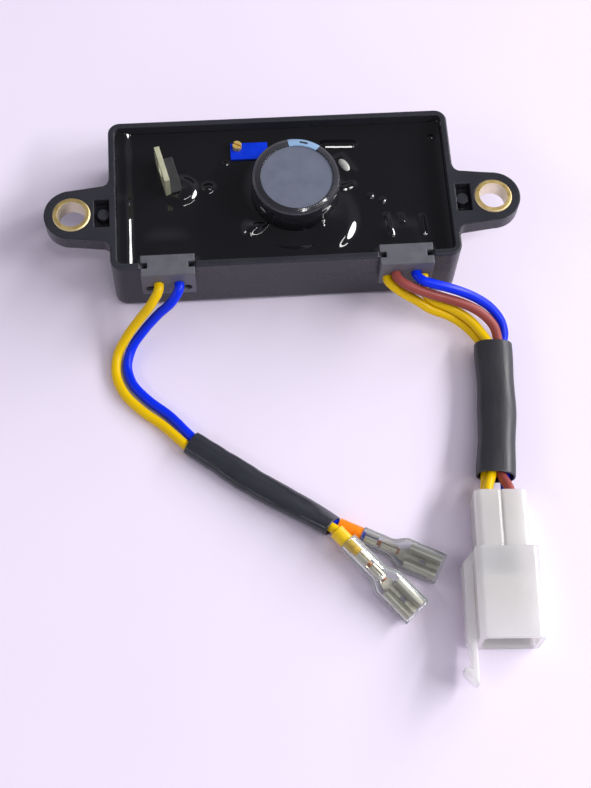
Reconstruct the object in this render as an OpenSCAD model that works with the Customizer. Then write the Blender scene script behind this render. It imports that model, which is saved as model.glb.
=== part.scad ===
// Automatic voltage regulator of a small generator: a potted plastic box with two mounting ears,
// two groups of wires, a pair of push-on terminals and a four-way connector.
// Millimetres, +Z up. The origin is the centre of the box's base; the wires leave toward -Y.

/* [Case] */
// Length of the box between the ears
case_l = 86.4; // [82:0.2:92]
// Width of the box from the wire side to the back
case_w = 42.2; // [40:0.2:48]
// Height of the box, base to rim
case_h = 20; // [19:0.5:24]
// Thickness of the side walls
wall_t = 1.6; // [1.2:0.1:2]
// Thickness of the floor
floor_t = 2; // [1.5:0.1:3]
// Radius of the upright corners
corner_r = 3; // [2.6:0.1:5]
// Radius of the edge between the walls and the base
base_edge_r = 2.4; // [1:0.1:2.5]
// Radius of the outer edge of the rim
rim_edge_r = 0.5; // [0.2:0.1:0.8]

/* [Ears and bushings] */
// Distance of each bolt hole from the end wall of the box
ear_reach = 9.3; // [8.8:0.1:12]
// How far the bolt holes sit in front of the middle of the box
hole_front = 5.1; // [2:0.1:7]
// Thickness of an ear
ear_t = 4.5; // [4:0.1:6]
// Radius of the ear's round end
ear_end_r = 6.8; // [6.2:0.1:8]
// Width of an ear where it meets the box
ear_root_w = 15.4; // [14:0.2:18]
// Radius of the fillet between ear and wall
ear_fillet_r = 2; // [1:0.1:3]
// Depth of the moulded pocket in an ear
pocket_depth = 3; // [2:0.1:3.4]
// Width of the moulded pocket in an ear
pocket_w = 7.8; // [6:0.1:9]
// Diameter of the round boss in the pocket
boss_d = 3; // [2:0.1:3.2]
// Diameter of the bolt hole in a bushing
bolt_hole_d = 7; // [6.4:0.1:7.4]
// Outer diameter of a bushing
bushing_d = 9.5; // [9:0.1:10]
// How far a bushing stands out of the ear on each side
bushing_proud = 0.25; // [0.1:0.05:0.5]
// Chamfer on the edges of a bushing
bushing_chamfer = 0.35; // [0.2:0.05:0.5]

/* [Potting] */
// Depth of the filled compound's surface below the rim
potting_drop = 4; // [3.2:0.1:5]
// Radius of the curve where the compound climbs the walls
meniscus_r = 2.2; // [1.5:0.1:2.6]
// Width of the ring of compound that climbs the capacitor
hump_w = 5; // [3:0.1:6]
// Height of the ring of compound that climbs the capacitor
hump_h = 3; // [2:0.1:3.5]

/* [Circuit board] */
// Room between the board and the end walls
board_end_gap = 3.1; // [2.6:0.1:4]
// Room between the board and the long walls
board_side_gap = 5; // [4.6:0.1:5.6]
// Thickness of the board
board_t = 1.6; // [1:0.1:2]
// Height of the posts that carry the board
post_h = 2.5; // [2.3:0.1:3]

/* [Capacitor] */
// Diameter over the capacitor's sleeve
cap_d = 22; // [20:0.2:23]
// Height of the capacitor, foot to crown
cap_h = 19.2; // [18:0.2:22]
// Place of the capacitor along the box
cap_x = 3.2; // [2.6:0.1:4]
// Place of the capacitor across the box
cap_y = 0.1; // [-0.4:0.1:0.6]
// Thickness of the capacitor's sleeve
cap_sleeve_t = 0.4; // [0.3:0.05:0.6]
// Diameter of the end disc inside the sleeve's lip
cap_disc_d = 17.8; // [16:0.1:18]

/* [Transistor] */
// Width of the power transistor
transistor_w = 10.2; // [9.6:0.1:10.6]
// Height of the transistor's moulded body
transistor_body_h = 9.2; // [8.8:0.1:9.6]
// Thickness of the transistor's moulded body in front of the tab
transistor_body_t = 3.1; // [2.8:0.1:3.4]
// Height of the tab above the body
tab_rise = 6.1; // [5.5:0.1:6.6]
// Thickness of the tab
tab_t = 1.3; // [1:0.1:1.5]
// Turn of the transistor about the upright
transistor_turn = 13.5; // [10:0.5:17]

/* [Trimmer] */
// Length of the trimmer's body
trimmer_l = 9.5; // [9.2:0.1:10]
// Width of the trimmer's body
trimmer_w = 4.8; // [4.6:0.1:5]
// Height of the trimmer's body
trimmer_h = 10.1; // [10:0.1:10.6]
// Diameter of the adjusting screw
screw_d = 2.3; // [2:0.05:2.5]
// How far the adjusting screw stands out of the body
screw_rise = 1.4; // [1:0.1:1.8]
// Running clearance round the adjusting screw
screw_gap = 0.05; // [0.03:0.01:0.08]

/* [Grommets] */
// Distance of each grommet from the middle of the box
grommet_x = 29.3; // [28.6:0.1:30]
// Width of a grommet's flanges
grommet_w = 13.2; // [13:0.1:13.8]
// Height of a grommet
grommet_h = 9.4; // [9:0.1:10]
// Thickness of the inner flange
inner_flange_t = 2; // [1.5:0.1:2.5]
// Thickness of the outer flange
outer_flange_t = 2.1; // [1.5:0.1:2.5]
// How far the flanges overlap the wall beside the slot
flange_lap = 0.8; // [0.6:0.05:0.85]
// Room between the grommet's middle and each side of its slot
slot_gap = 0.8; // [0.4:0.1:1]

/* [Wires and sleeves] */
// Outer diameter of every wire
wire_d = 2.4; // [2.2:0.05:2.45]
// Thickness of the shrunk and slipped-on sleeves
sleeve_t = 0.5; // [0.4:0.05:0.6]
// Outer diameter of the two coloured marker sleeves
marker_d = 3.7; // [3.4:0.1:3.7]
// Length of the two coloured marker sleeves
marker_l = 6; // [4:0.1:6]

/* [Terminals] */
// Width of a push-on terminal over its rolled edges
terminal_w = 6.6; // [6.4:0.1:6.8]
// Length of the rolled part of a terminal
terminal_box_l = 8; // [7:0.1:8.4]
// Outer diameter of a rolled edge
roll_d = 2.7; // [2.5:0.1:2.8]
// Thickness of the terminal's sheet metal
sheet_t = 0.45; // [0.4:0.05:0.5]
// Thickness of a clear boot
boot_t = 0.45; // [0.4:0.05:0.5]
// How far the lower clear boot reaches behind the crimp on the wire
low_boot_tail = 3.9; // [3:0.1:4.2]
// How far the upper clear boot reaches behind the crimp on the wire
high_boot_tail = 0.9; // [0.7:0.1:1.2]

/* [Connector] */
// Width of the connector's front block
plug_w = 15; // [14.6:0.1:16]
// Height of the connector's front block
plug_h = 11.6; // [11.4:0.1:12.5]
// Length of the connector's front block
plug_l = 21.7; // [20:0.1:24]
// Width of the connector's rear block
tail_w = 12.6; // [12.2:0.1:13.2]
// Height of the connector's rear block
tail_h = 10.8; // [10.6:0.1:11.2]
// Length of the connector's rear block
tail_l = 14; // [13:0.1:16]
// Radius of the connector's long edges
plug_edge_r = 1.7; // [0.6:0.1:1.8]
// Wall of the connector's front shroud
shroud_t = 1.2; // [1:0.1:1.5]
// Distance between neighbouring contacts
contact_pitch = 5.2; // [5:0.1:5.4]
// Length of the latch arm in front of the front block
latch_reach = 9.6; // [8:0.1:11]

/* [Hidden] */
$fn = 64;
touch = 0.01;
through = 50;

// Places worked out from the sizes above
inner_l = case_l - 2 * wall_t;
inner_w = case_w - 2 * wall_t;
inner_r = corner_r - wall_t;
hole_x = case_l / 2 + ear_reach;
hole_y = -hole_front;
potting_z = case_h - potting_drop;
film_t = 0.3;
board_l = inner_l - 2 * board_end_gap;
board_w = inner_w - 2 * board_side_gap;
board_z = floor_t + post_h;
board_top = board_z + board_t;
lead_foot = board_z - 1.2;
seat_gap = 0.3;
post_d = 3.4;
post_inset = 3;

cap_base = board_top + seat_gap;
cap_top = cap_base + cap_h;
cap_can_d = cap_d - 2 * cap_sleeve_t;
cap_lip_t = 0.5;
cap_can_top = cap_top - cap_lip_t;
cap_edge_r = 1.3;
cap_disc_t = 0.25;
cap_disc_shift = [0.25, -0.5];
cap_pin_gap = 10;
cap_pin_d = 1;

transistor_in = 11.9;
transistor_at = [-inner_l / 2 + transistor_in, 6.4];
transistor_base = board_top + 1.9;
tab_hole_d = 3.6;
tab_hole_drop = 2.8;
transistor_pitch = 2.54;
transistor_lead = 0.8;

trimmer_at = [-7.65, 13.4];
trimmer_base = board_top + seat_gap;
trimmer_top = trimmer_base + trimmer_h;
screw_at = [trimmer_at[0] - trimmer_l / 2 + 1.75, trimmer_at[1] + 1.1];
screw_depth = 2.5;
screw_slot_w = 0.5;
screw_slot_h = 0.8;
screw_slot_turn = -28;
trimmer_pin_pitch = 2.54;
trimmer_pin_d = 0.5;

ceramic_d = 8;
ceramic_t = 2.5;
ceramic_at = [16.3, 8];
ceramic_top = potting_z + 1;
ceramic_turn = -59.5;
ceramic_lead_gap = 5;

diode_d = 3.6;
diode_l = 7;
diode_span = 12;
diode_lead_d = 0.8;
diode_axis = board_top + diode_d / 2 + seat_gap;
bridge_x = 25;
bridge_y = [-4.5, 0, 4.5, 9];
flyback_at = [-17, -6];
bleeder_in = 21;
bleeder_at = [-inner_l / 2 + bleeder_in, 3.4];
bleeder_gap = 5;
bleeder_d = 2.5;
bleeder_l = 7;
loop_top = potting_z - 0.8;
control_in = 5.6;
control_at = [-inner_l / 2 + control_in, -3];
control_r = 2.4;
control_h = 4.8;
control_base = board_top + 2;
control_pitch = 1.27;

slot_w = grommet_w - 2 * flange_lap;
grommet_foot = case_h - grommet_h;
slot_foot = grommet_foot + flange_lap / 2;
slot_flare = 1.2;
wall_in_y = -inner_w / 2;
wall_out_y = -case_w / 2;
grommet_in_y = wall_in_y + inner_flange_t;
grommet_out_y = wall_out_y - outer_flange_t;
upper_hole_x = 2.5;
upper_hole_drop = 4.6;
upper_hole_z = case_h - upper_hole_drop;
lower_hole_x = 4.45;
lower_hole_drop = 6.6;
lower_hole_z = case_h - lower_hole_drop;
wire_in = 8;
ridge_d = wire_d + 0.7;
wire_in_y = grommet_in_y + wire_in;
core_d = 1.3;
core_run = 1.6;

// Unit vector, sideways vector and upward vector of a running direction
function unit(v) = v / norm(v);
function side_of(t) = unit(cross(t, [0, 0, 1]));
function up_of(t) = cross(side_of(t), t);

// Direction of a route at point i: from the point before to the point after
function along(p, i) = unit(p[min(i + 1, len(p) - 1)] - p[max(i - 1, 0)]);

// A point beside a route: dx to the right of travel, dz above it
function beside(p, i, dx, dz) = p[i] + side_of(along(p, i)) * dx + up_of(along(p, i)) * dz;
function lane(p, dx, dz) = [for (i = [0 : len(p) - 1]) beside(p, i, dx, dz)];

// Every second point beside a route that turns over, d from its middle
function turned_lane(p, twist, d) = [
    for (i = [0 : 2 : len(p) - 2]) beside(p, i, d * cos(twist[i]), d * sin(twist[i]))
];

// Left sleeve: route of its middle, and at each point how much its hollow swells in half width and
// half height and how far it turns about the route
left_sleeve_route = [
    [-26, -60, 2.3],
    [-18.5, -65.7, 2.3],
    [-11, -71.4, 2.3],
    [-3.5, -76.5, 2.7],
    [2.5, -80.5, 3],
    [7, -84, 3.6]
];
left_sleeve_swell = [[0, 0], [0.2, 0], [0.4, 0], [0.5, 0.05], [0.5, 0.1], [0.7, 0.35]];
left_sleeve_twist = [0, 4, 8, 19, 28, 50];
pair_gap = 0.1;
left_hollow = [wire_d + pair_gap / 2 + 0.12, wire_d / 2 + 0.25];
left_lane = wire_d / 2 + pair_gap / 2;

// Right sleeve: route of its middle, and where the four wires lie in its hollow
right_sleeve_route = [
    [50.7, -38.6, 3.9],
    [49.6, -56, 3.8],
    [47, -74.2, 4.9]
];
right_hollow = [wire_d + 1.8, wire_d + 0.75];
low_lane = [wire_d - 0.05, -wire_d / 2 + 0.2];
high_lane = [wire_d / 2 + 0.05, wire_d / 2 + 0.1];

// Connector: place of its rear face on the table, and its turn
plug_at = [46.7, -79.3, 0];
plug_turn = -3;
plug_shift = 0.4;
bundle_z = tail_h / 2;
contact_x = contact_pitch / 2;
contact_z = contact_pitch / 2 - 0.1;
cell_w = 3.8;
barrel_d = 3.2;
barrel_l = 4.5;
wire_into_plug = 5.5;
blade_w = 2.8;
blade_t = 0.8;
blade_tip = 15.5;
shroud_depth = 15;
contact_neck = [2.2, 1];
latch_w = 2.1;
latch_h = 5;
latch_gap = 0.35;
latch_root = 3;
latch_tip_w = 1.5;
barb = 1.6;
barb_l = 3.6;
groove_w = 0.7;
groove_t = 0.3;

function in_plug(x, y, z) = plug_at + [
    x * cos(plug_turn) - y * sin(plug_turn),
    x * sin(plug_turn) + y * cos(plug_turn),
    z
];

// Terminals: middle of each mouth, heading and slope of the axis from wire to mouth
low_mouth = [25.2, -105.9, 2.5];
low_heading = -49;
low_slope = -6;
high_mouth = [31.8, -95.7, 2.4];
high_heading = -28;
high_slope = 0;
marker_lead = 0.6;
marker_gap = 0.05;
crimp_d = 3.3;
crimp_l = 3.2;
core_crimp_d = 2.5;
core_crimp_l = 4;
neck_l = 2.6;
crimp_gap = 1;
seam_w = 0.25;
detent_d = 1.7;
tab_room = 0.85;
mouth_inset = 0.8;
box_back = -mouth_inset - terminal_box_l;
core_crimp_back = box_back - neck_l - core_crimp_l;
crimp_back = core_crimp_back - crimp_gap - crimp_l;
axis_rise = roll_d / 2;
boot_front = [terminal_w / 2 + 0.14, roll_d / 2 + 0.16];
boot_neck = [boot_front[0] - 0.8, boot_front[1] + 0.03];
boot_taper_l = 2.2;
low_boot_rear = marker_d / 2 + 0.2;
high_boot_rear = crimp_d / 2 + 0.14;
low_marker_front = crimp_back - 1.4;
high_marker_front = crimp_back - high_boot_tail;

// A point on a terminal's axis, s in front of the mouth
function axis_dir(head, slope) = [cos(head) * cos(slope), sin(head) * cos(slope), sin(slope)];
function on_axis(mouth, head, slope, s) = mouth + axis_dir(head, slope) * s;

// Route of a wire from inside the grommet, straight through its hole and out of it
function exit_route(x, z, reach) = [
    [x, wire_in_y, z],
    [x, grommet_out_y - reach, z]
];
function into_plug(x, z) = [
    in_plug(x, 1, z),
    in_plug(x, -wire_into_plug, z)
];
function into_terminal(mouth, head, slope, marker_front) = [
    on_axis(mouth, head, slope, marker_front - marker_l - marker_lead),
    on_axis(mouth, head, slope, crimp_back + crimp_l)
];

left_yellow_route = concat(
    exit_route(-grommet_x - upper_hole_x, upper_hole_z, 1.2),
    [[-33.6, -27, 13.4], [-37, -29.2, 9.2], [-40.6, -32, 5.2], [-43.2, -35.6, 2.2],
     [-43.7, -40.4, 1.3], [-42, -45.4, 1.3], [-38, -50.2, 1.3], [-32.6, -54.8, 1.4]],
    turned_lane(left_sleeve_route, left_sleeve_twist, left_lane),
    into_terminal(low_mouth, low_heading, low_slope, low_marker_front)
);
left_blue_route = concat(
    exit_route(-grommet_x + upper_hole_x, upper_hole_z, 1.2),
    [[-28.6, -26.8, 13.4], [-32.4, -28.4, 9.6], [-36.4, -30.8, 5.6], [-39.6, -34, 2.6],
     [-40.9, -38.4, 1.3], [-39.8, -43, 1.3], [-36.2, -47.6, 1.3], [-31, -52.2, 1.4]],
    turned_lane(left_sleeve_route, left_sleeve_twist, -left_lane),
    into_terminal(high_mouth, high_heading, high_slope, high_marker_front)
);
right_yellow_1_route = concat(
    exit_route(grommet_x - lower_hole_x, lower_hole_z, 0.8),
    [[26.2, -25.7, 13], [28.6, -27.3, 11.6], [31.8, -28.8, 9.8], [35.7, -30.3, 7.7], [40, -31.5, 5.8],
     [43.6, -33.2, 4.2], [46.5, -35.6, 3.3]],
    lane(right_sleeve_route, low_lane[0], low_lane[1]),
    into_plug(-contact_x, bundle_z - contact_z)
);
right_yellow_2_route = concat(
    exit_route(grommet_x + lower_hole_x, lower_hole_z, 0.8),
    [[33.7, -25.5, 12.4], [34.3, -27, 10.7], [36.4, -28.3, 9.4], [39.6, -29.5, 8.4], [42.7, -30.9, 7.3],
     [45.7, -33, 6.2], [48, -36, 5.4]],
    lane(right_sleeve_route, high_lane[0], high_lane[1]),
    into_plug(-contact_x, bundle_z + contact_z)
);
right_brown_route = concat(
    exit_route(grommet_x - upper_hole_x, upper_hole_z, 0.8),
    [[27.8, -25.4, 15.3], [30.3, -26.9, 14.7], [34.2, -28, 13.3], [39, -28.8, 11.5], [43.9, -29.9, 9.8],
     [48, -31.7, 8.1], [51.1, -34.8, 6.4]],
    lane(right_sleeve_route, -high_lane[0], high_lane[1]),
    into_plug(contact_x, bundle_z + contact_z)
);
right_blue_route = concat(
    exit_route(grommet_x + upper_hole_x, upper_hole_z, 0.8),
    [[32.8, -25.4, 15.6], [35.4, -26.4, 15.2], [39.1, -27, 14], [43.3, -27.6, 12], [47.6, -28.6, 9.5],
     [51.2, -30.4, 7], [53.4, -33, 4.9], [53.9, -35.8, 3.5]],
    lane(right_sleeve_route, -low_lane[0], low_lane[1]),
    into_plug(contact_x, bundle_z - contact_z)
);

// Ring of points of an oval section with half width a and half height b
function oval(p, i, a, b, n) = [
    for (k = [0 : n - 1])
        p[i] + side_of(along(p, i)) * a * cos(360 * k / n) + up_of(along(p, i)) * b * sin(360 * k / n)
];
// Ring of points of a section with round sides and flat top and bottom, turned about the route
function stadium(p, i, a, b, n, turn) = [
    for (k = [0 : n - 1])
        let (x = (a - b) * sign(cos(360 * k / n)) + b * cos(360 * k / n))
        let (z = b * sin(360 * k / n))
        beside(p, i, x * cos(turn) - z * sin(turn), x * sin(turn) + z * cos(turn))
];
function joined(rings) = [for (r = rings) for (q = r) q];

// Triangles of the skin between neighbouring rings, turned inward or outward
function skin(first, rings, n, inward) = [
    for (i = [0 : rings - 2])
        for (k = [0 : n - 1])
            for (h = [0, 1])
                let (a = first + i * n + k)
                let (b = first + i * n + (k + 1) % n)
                let (tri = h == 0 ? [a, b, b + n] : [a, b + n, a + n])
                inward ? [tri[2], tri[1], tri[0]] : tri
];
function cap_ring(first, n, flip) = [
    for (k = [0 : n - 1]) flip ? first + n - 1 - k : first + k
];
function annulus(outer, inner, n, flip) = [
    for (k = [0 : n - 1])
        for (h = [0, 1])
            let (o0 = outer + k)
            let (o1 = outer + (k + 1) % n)
            let (i0 = inner + k)
            let (i1 = inner + (k + 1) % n)
            let (tri = h == 0 ? [o0, i0, i1] : [o0, i1, o1])
            flip ? [tri[2], tri[1], tri[0]] : tri
];

// Solid round cord along a route
module cord(p, d, n) {
    m = len(p);
    rings = [for (i = [0 : m - 1]) oval(p, i, d / 2, d / 2, n)];
    polyhedron(
        points = joined(rings),
        faces = concat(
            skin(0, m, n, false),
            [cap_ring(0, n, true)],
            [cap_ring((m - 1) * n, n, false)]
        )
    );
}

// Hollow flattened tube along a route; hollow and twist list the bore's half sizes and its turn
module hollow_tube(p, hollow, twist, t, n) {
    m = len(p);
    outside = [for (i = [0 : m - 1]) stadium(p, i, hollow[i][0] + t, hollow[i][1] + t, n, twist[i])];
    inside = [for (i = [0 : m - 1]) stadium(p, i, hollow[i][0], hollow[i][1], n, twist[i])];
    far = (m - 1) * n;
    polyhedron(
        points = concat(joined(outside), joined(inside)),
        faces = concat(
            skin(0, m, n, false),
            skin(m * n, m, n, true),
            annulus(0, m * n, n, false),
            annulus(far, m * n + far, n, true)
        )
    );
}

// Side outline of a box with rounded lower and upper edges
module side_outline(w, h, low_r, high_r) {
    for (s = [-1, 1]) {
        translate([s * (w / 2 - low_r), low_r]) circle(low_r);
        translate([s * (w / 2 - high_r), h - high_r]) circle(high_r);
    }
    translate([-w / 2 + low_r, 0]) square([w - 2 * low_r, h]);
    translate([-w / 2, low_r]) square([w, h - low_r - high_r]);
    translate([-w / 2 + high_r, low_r]) square([w - 2 * high_r, h - low_r]);
}

// Box with rounded upright corners, lower edges and upper edges
module rounded_box(l, w, h, r, low_r, high_r) {
    for (sx = [-1, 1], sy = [-1, 1])
        translate([sx * (l / 2 - r), sy * (w / 2 - r), 0])
            rotate_extrude()
                intersection() {
                    side_outline(2 * r, h, low_r, high_r);
                    square([r, h]);
                }
    rotate([90, 0, 0])
        linear_extrude(w - 2 * r, center = true) side_outline(l, h, low_r, high_r);
    rotate([90, 0, 90])
        linear_extrude(l - 2 * r, center = true) side_outline(w, h, low_r, high_r);
}

// Flat rectangle with rounded corners
module rounded_flat(l, w, r) {
    square([l - 2 * r, w], center = true);
    square([l, w - 2 * r], center = true);
    for (sx = [-1, 1], sy = [-1, 1])
        translate([sx * (l / 2 - r), sy * (w / 2 - r)]) circle(r);
}

// Outline of the right ear, from inside the wall to its round end
module ear_outline() {
    root = case_l / 2;
    translate([hole_x, hole_y]) circle(ear_end_r);
    polygon([
        [root - wall_t / 2, hole_y - ear_root_w / 2],
        [root + ear_fillet_r, hole_y - ear_root_w / 2],
        [hole_x, hole_y - ear_end_r],
        [hole_x, hole_y + ear_end_r],
        [root + ear_fillet_r, hole_y + ear_root_w / 2],
        [root - wall_t / 2, hole_y + ear_root_w / 2]
    ]);
    for (s = [-1, 1])
        difference() {
            translate([root - wall_t / 2, hole_y + s * ear_root_w / 2 - ear_fillet_r])
                square([wall_t / 2 + ear_fillet_r, 2 * ear_fillet_r]);
            translate([root + ear_fillet_r, hole_y + s * (ear_root_w / 2 + ear_fillet_r)])
                circle(ear_fillet_r);
        }
}

module ears() {
    for (s = [0, 1])
        mirror([s, 0, 0])
            translate([0, 0, case_h - ear_t]) linear_extrude(ear_t) ear_outline();
}

module ear_pockets() {
    x0 = case_l / 2;
    x1 = hole_x - bushing_d / 2 - 0.8;
    for (s = [0, 1])
        mirror([s, 0, 0])
            translate([x0, hole_y - pocket_w / 2, case_h - pocket_depth])
                cube([x1 - x0, pocket_w, through]);
}

module ear_bosses() {
    boss_h = pocket_depth - 0.6;
    for (s = [-1, 1])
        translate([s * (case_l / 2 + boss_d / 2), hole_y, case_h - pocket_depth - touch])
            cylinder(h = boss_h, d = boss_d);
}

module board_posts() {
    for (sx = [-1, 1], sy = [-1, 1])
        translate([sx * (board_l / 2 - post_inset), sy * (board_w / 2 - post_inset), floor_t - touch])
            cylinder(h = post_h + touch, d = post_d);
}

// Slots for the grommets, with their corners at the rim cut away
module wall_slots() {
    for (s = [-1, 1])
        translate([s * grommet_x, wall_in_y + touch, 0])
            rotate([90, 0, 0])
                linear_extrude(wall_t + 2 * touch)
                    polygon([
                        [-slot_w / 2, slot_foot],
                        [slot_w / 2, slot_foot],
                        [slot_w / 2, case_h - slot_flare],
                        [slot_w / 2 + slot_flare, case_h],
                        [slot_w / 2 + slot_flare, case_h + slot_flare],
                        [-slot_w / 2 - slot_flare, case_h + slot_flare],
                        [-slot_w / 2 - slot_flare, case_h],
                        [-slot_w / 2, case_h - slot_flare]
                    ]);
}

module case() color("#2b2b30") {
    difference() {
        union() {
            rounded_box(case_l, case_w, case_h, corner_r, base_edge_r, rim_edge_r);
            ears();
        }
        translate([0, 0, floor_t])
            linear_extrude(case_h) rounded_flat(inner_l, inner_w, inner_r);
        for (s = [-1, 1])
            translate([s * hole_x, hole_y, 0]) cylinder(h = through, d = bushing_d);
        ear_pockets();
        wall_slots();
    }
    board_posts();
    ear_bosses();
}

// Flanged sleeve for a bolt, pressed into an ear
module bushing(s) {
    low = case_h - ear_t - bushing_proud;
    high = case_h + bushing_proud;
    bore_r = bolt_hole_d / 2;
    outer_r = bushing_d / 2;
    c = bushing_chamfer;
    color("#d8ae45")
        translate([s * hole_x, hole_y, 0])
            rotate_extrude()
                polygon([
                    [bore_r, low],
                    [outer_r - c, low],
                    [outer_r, low + c],
                    [outer_r, high - c],
                    [outer_r - c, high],
                    [bore_r, high]
                ]);
}

module left_bushing() bushing(-1);
module right_bushing() bushing(1);

// Compound poured over the board: flat in the middle, climbing the walls and the capacitor
module potting_fill() {
    difference() {
        translate([0, 0, floor_t])
            linear_extrude(potting_z + meniscus_r - floor_t) rounded_flat(inner_l, inner_w, inner_r);
        translate([0, 0, potting_z])
            rounded_box(
                inner_l - 2 * film_t,
                inner_w - 2 * film_t,
                case_h,
                meniscus_r + film_t,
                meniscus_r,
                film_t
            );
    }
    hump_curve_r = (hump_w * hump_w + hump_h * hump_h) / (2 * hump_h);
    translate([cap_x, cap_y, potting_z])
        rotate_extrude()
            difference() {
                translate([cap_d / 2 - cap_sleeve_t, -touch]) square([hump_w + cap_sleeve_t, hump_h + touch]);
                translate([cap_d / 2 + hump_w, hump_curve_r]) circle(hump_curve_r);
            }
    for (x = [-grommet_x, grommet_x], i = [-1, 1]) wire_ridge(x + i * upper_hole_x);
}

// Ridge of compound over an upper wire where it runs in behind its grommet
module wire_ridge(x) {
    ridge_l = wire_in_y - wall_in_y;
    translate([x, wire_in_y, upper_hole_z]) rotate([90, 0, 0]) cylinder(h = ridge_l, d = ridge_d);
    translate([x, wire_in_y, upper_hole_z]) sphere(d = ridge_d);
}

module potting_compound() color("#1c1c1e")
    difference() {
        potting_fill();
        board_blank();
        board_posts();
        all_leads();
        translate([cap_x, cap_y, cap_base]) cylinder(h = through, d = cap_d);
        transistor_block();
        transistor_plate();
        trimmer_block();
        screw_bore();
        ceramic_capacitor();
        for (i = [0 : 3]) rectifier(i);
        flyback_diode();
        bleed_resistor();
        control_transistor();
        grommet_blank(-1);
        grommet_blank(1);
        wire_sockets();
        left_wire_cores();
        right_wire_cores();
    }

module board_blank() {
    translate([-board_l / 2, -board_w / 2, board_z]) cube([board_l, board_w, board_t]);
}

module all_leads() {
    capacitor_leads();
    transistor_leads();
    trimmer_pins();
}

module circuit_board() color("#7d5a2c")
    difference() {
        board_blank();
        all_leads();
        ceramic_capacitor();
        for (i = [0 : 3]) rectifier(i);
        flyback_diode();
        bleed_resistor();
        control_transistor();
        left_wire_cores();
        right_wire_cores();
    }

module capacitor_can() color("#b9bcc2")
    translate([cap_x, cap_y, cap_base]) cylinder(h = cap_can_top - cap_base, d = cap_can_d);

module capacitor_sleeve() color("#17171a")
    difference() {
        translate([cap_x, cap_y, cap_base])
            rotate_extrude()
                intersection() {
                    side_outline(cap_d, cap_h, cap_sleeve_t / 2, cap_edge_r);
                    square([cap_d / 2, cap_h]);
                }
        translate([cap_x, cap_y, cap_base - touch])
            cylinder(h = cap_can_top - cap_base + touch, d = cap_can_d);
        translate([cap_x + cap_disc_shift[0], cap_y + cap_disc_shift[1], cap_base])
            cylinder(h = through, d = cap_disc_d);
    }

module capacitor_end_disc() color("#7c7c88")
    translate([cap_x + cap_disc_shift[0], cap_y + cap_disc_shift[1], cap_can_top])
        cylinder(h = cap_disc_t, d = cap_disc_d);

module capacitor_leads() color("#c8c8c4")
    for (s = [-1, 1])
        translate([cap_x + s * cap_pin_gap / 2, cap_y, lead_foot])
            cylinder(h = cap_base - lead_foot, d = cap_pin_d);

// Frame of the transistor: X along its width, Y from the tab to the body's face
module at_transistor() {
    translate([transistor_at[0], transistor_at[1], transistor_base])
        rotate([0, 0, transistor_turn - 90])
            children();
}

module transistor_block() {
    at_transistor()
        translate([-transistor_w / 2, tab_t / 2, 0])
            cube([transistor_w, transistor_body_t, transistor_body_h]);
}

module transistor_plate() {
    at_transistor()
        translate([-transistor_w / 2, -tab_t / 2, 0])
            cube([transistor_w, tab_t, transistor_body_h + tab_rise]);
}

module transistor_body() color("#3a3a3c") transistor_block();

module transistor_tab() color("#b9b98f")
    difference() {
        transistor_plate();
        at_transistor()
            translate([0, 0, transistor_body_h + tab_rise - tab_hole_drop])
                rotate([90, 0, 0]) cylinder(h = through, d = tab_hole_d, center = true);
    }

module transistor_leads() color("#c8c8c4")
    at_transistor()
        for (i = [-1, 0, 1])
            translate([i * transistor_pitch, tab_t / 2 + transistor_body_t / 2, lead_foot - transistor_base])
                cylinder(h = transistor_base - lead_foot, d = transistor_lead);

module trimmer_block() {
    translate([trimmer_at[0] - trimmer_l / 2, trimmer_at[1] - trimmer_w / 2, trimmer_base])
        cube([trimmer_l, trimmer_w, trimmer_h]);
}

// Bore that the adjusting screw turns in, open upward through any compound above the trimmer
module screw_bore() {
    translate([screw_at[0], screw_at[1], trimmer_top - screw_depth])
        cylinder(h = through, d = screw_d + 2 * screw_gap);
}

module trimmer_body() color("#0a3cd8")
    difference() {
        trimmer_block();
        screw_bore();
    }

// Slotted screw that turns the trimmer's wiper
module trimmer_screw() color("#d2b048")
    translate([screw_at[0], screw_at[1], 0])
        difference() {
            translate([0, 0, trimmer_top - screw_depth + 2 * screw_gap])
                cylinder(h = screw_depth + screw_rise - 2 * screw_gap, d = screw_d);
            translate([0, 0, trimmer_top + screw_rise])
                rotate([0, 0, screw_slot_turn])
                    cube([through, screw_slot_w, 2 * screw_slot_h], center = true);
        }

module trimmer_pins() color("#c8c8c4")
    for (i = [-1, 0, 1])
        translate([trimmer_at[0] + i * trimmer_pin_pitch, trimmer_at[1], lead_foot])
            cylinder(h = trimmer_base - lead_foot, d = trimmer_pin_d);

// Round dipped capacitor on edge; its upper edge stands out of the compound
module ceramic_capacitor() color("#a9a9a4")
    translate([ceramic_at[0], ceramic_at[1], 0])
        rotate([0, 0, ceramic_turn]) {
            translate([0, 0, ceramic_top - ceramic_d / 2])
                rotate([90, 0, 0])
                    rotate_extrude()
                        intersection() {
                            rounded_flat(ceramic_d, ceramic_t, ceramic_t / 2 - touch);
                            translate([0, -ceramic_t]) square([ceramic_d, 2 * ceramic_t]);
                        }
            for (s = [-1, 1])
                translate([s * ceramic_lead_gap / 2, 0, lead_foot])
                    cylinder(h = ceramic_top - ceramic_d / 2 - lead_foot, d = diode_lead_d);
        }

// Diode lying on the board along X with its leads bent down through it
module axial_diode(x, y) color("#202022")
    translate([x, y, 0]) {
        translate([0, 0, diode_axis]) rotate([0, 90, 0]) cylinder(h = diode_l, d = diode_d, center = true);
        translate([0, 0, diode_axis]) rotate([0, 90, 0]) cylinder(h = diode_span, d = diode_lead_d, center = true);
        for (s = [-1, 1])
            translate([s * diode_span / 2, 0, lead_foot]) {
                cylinder(h = diode_axis - lead_foot, d = diode_lead_d);
                translate([0, 0, diode_axis - lead_foot]) sphere(d = diode_lead_d);
            }
    }

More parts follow.
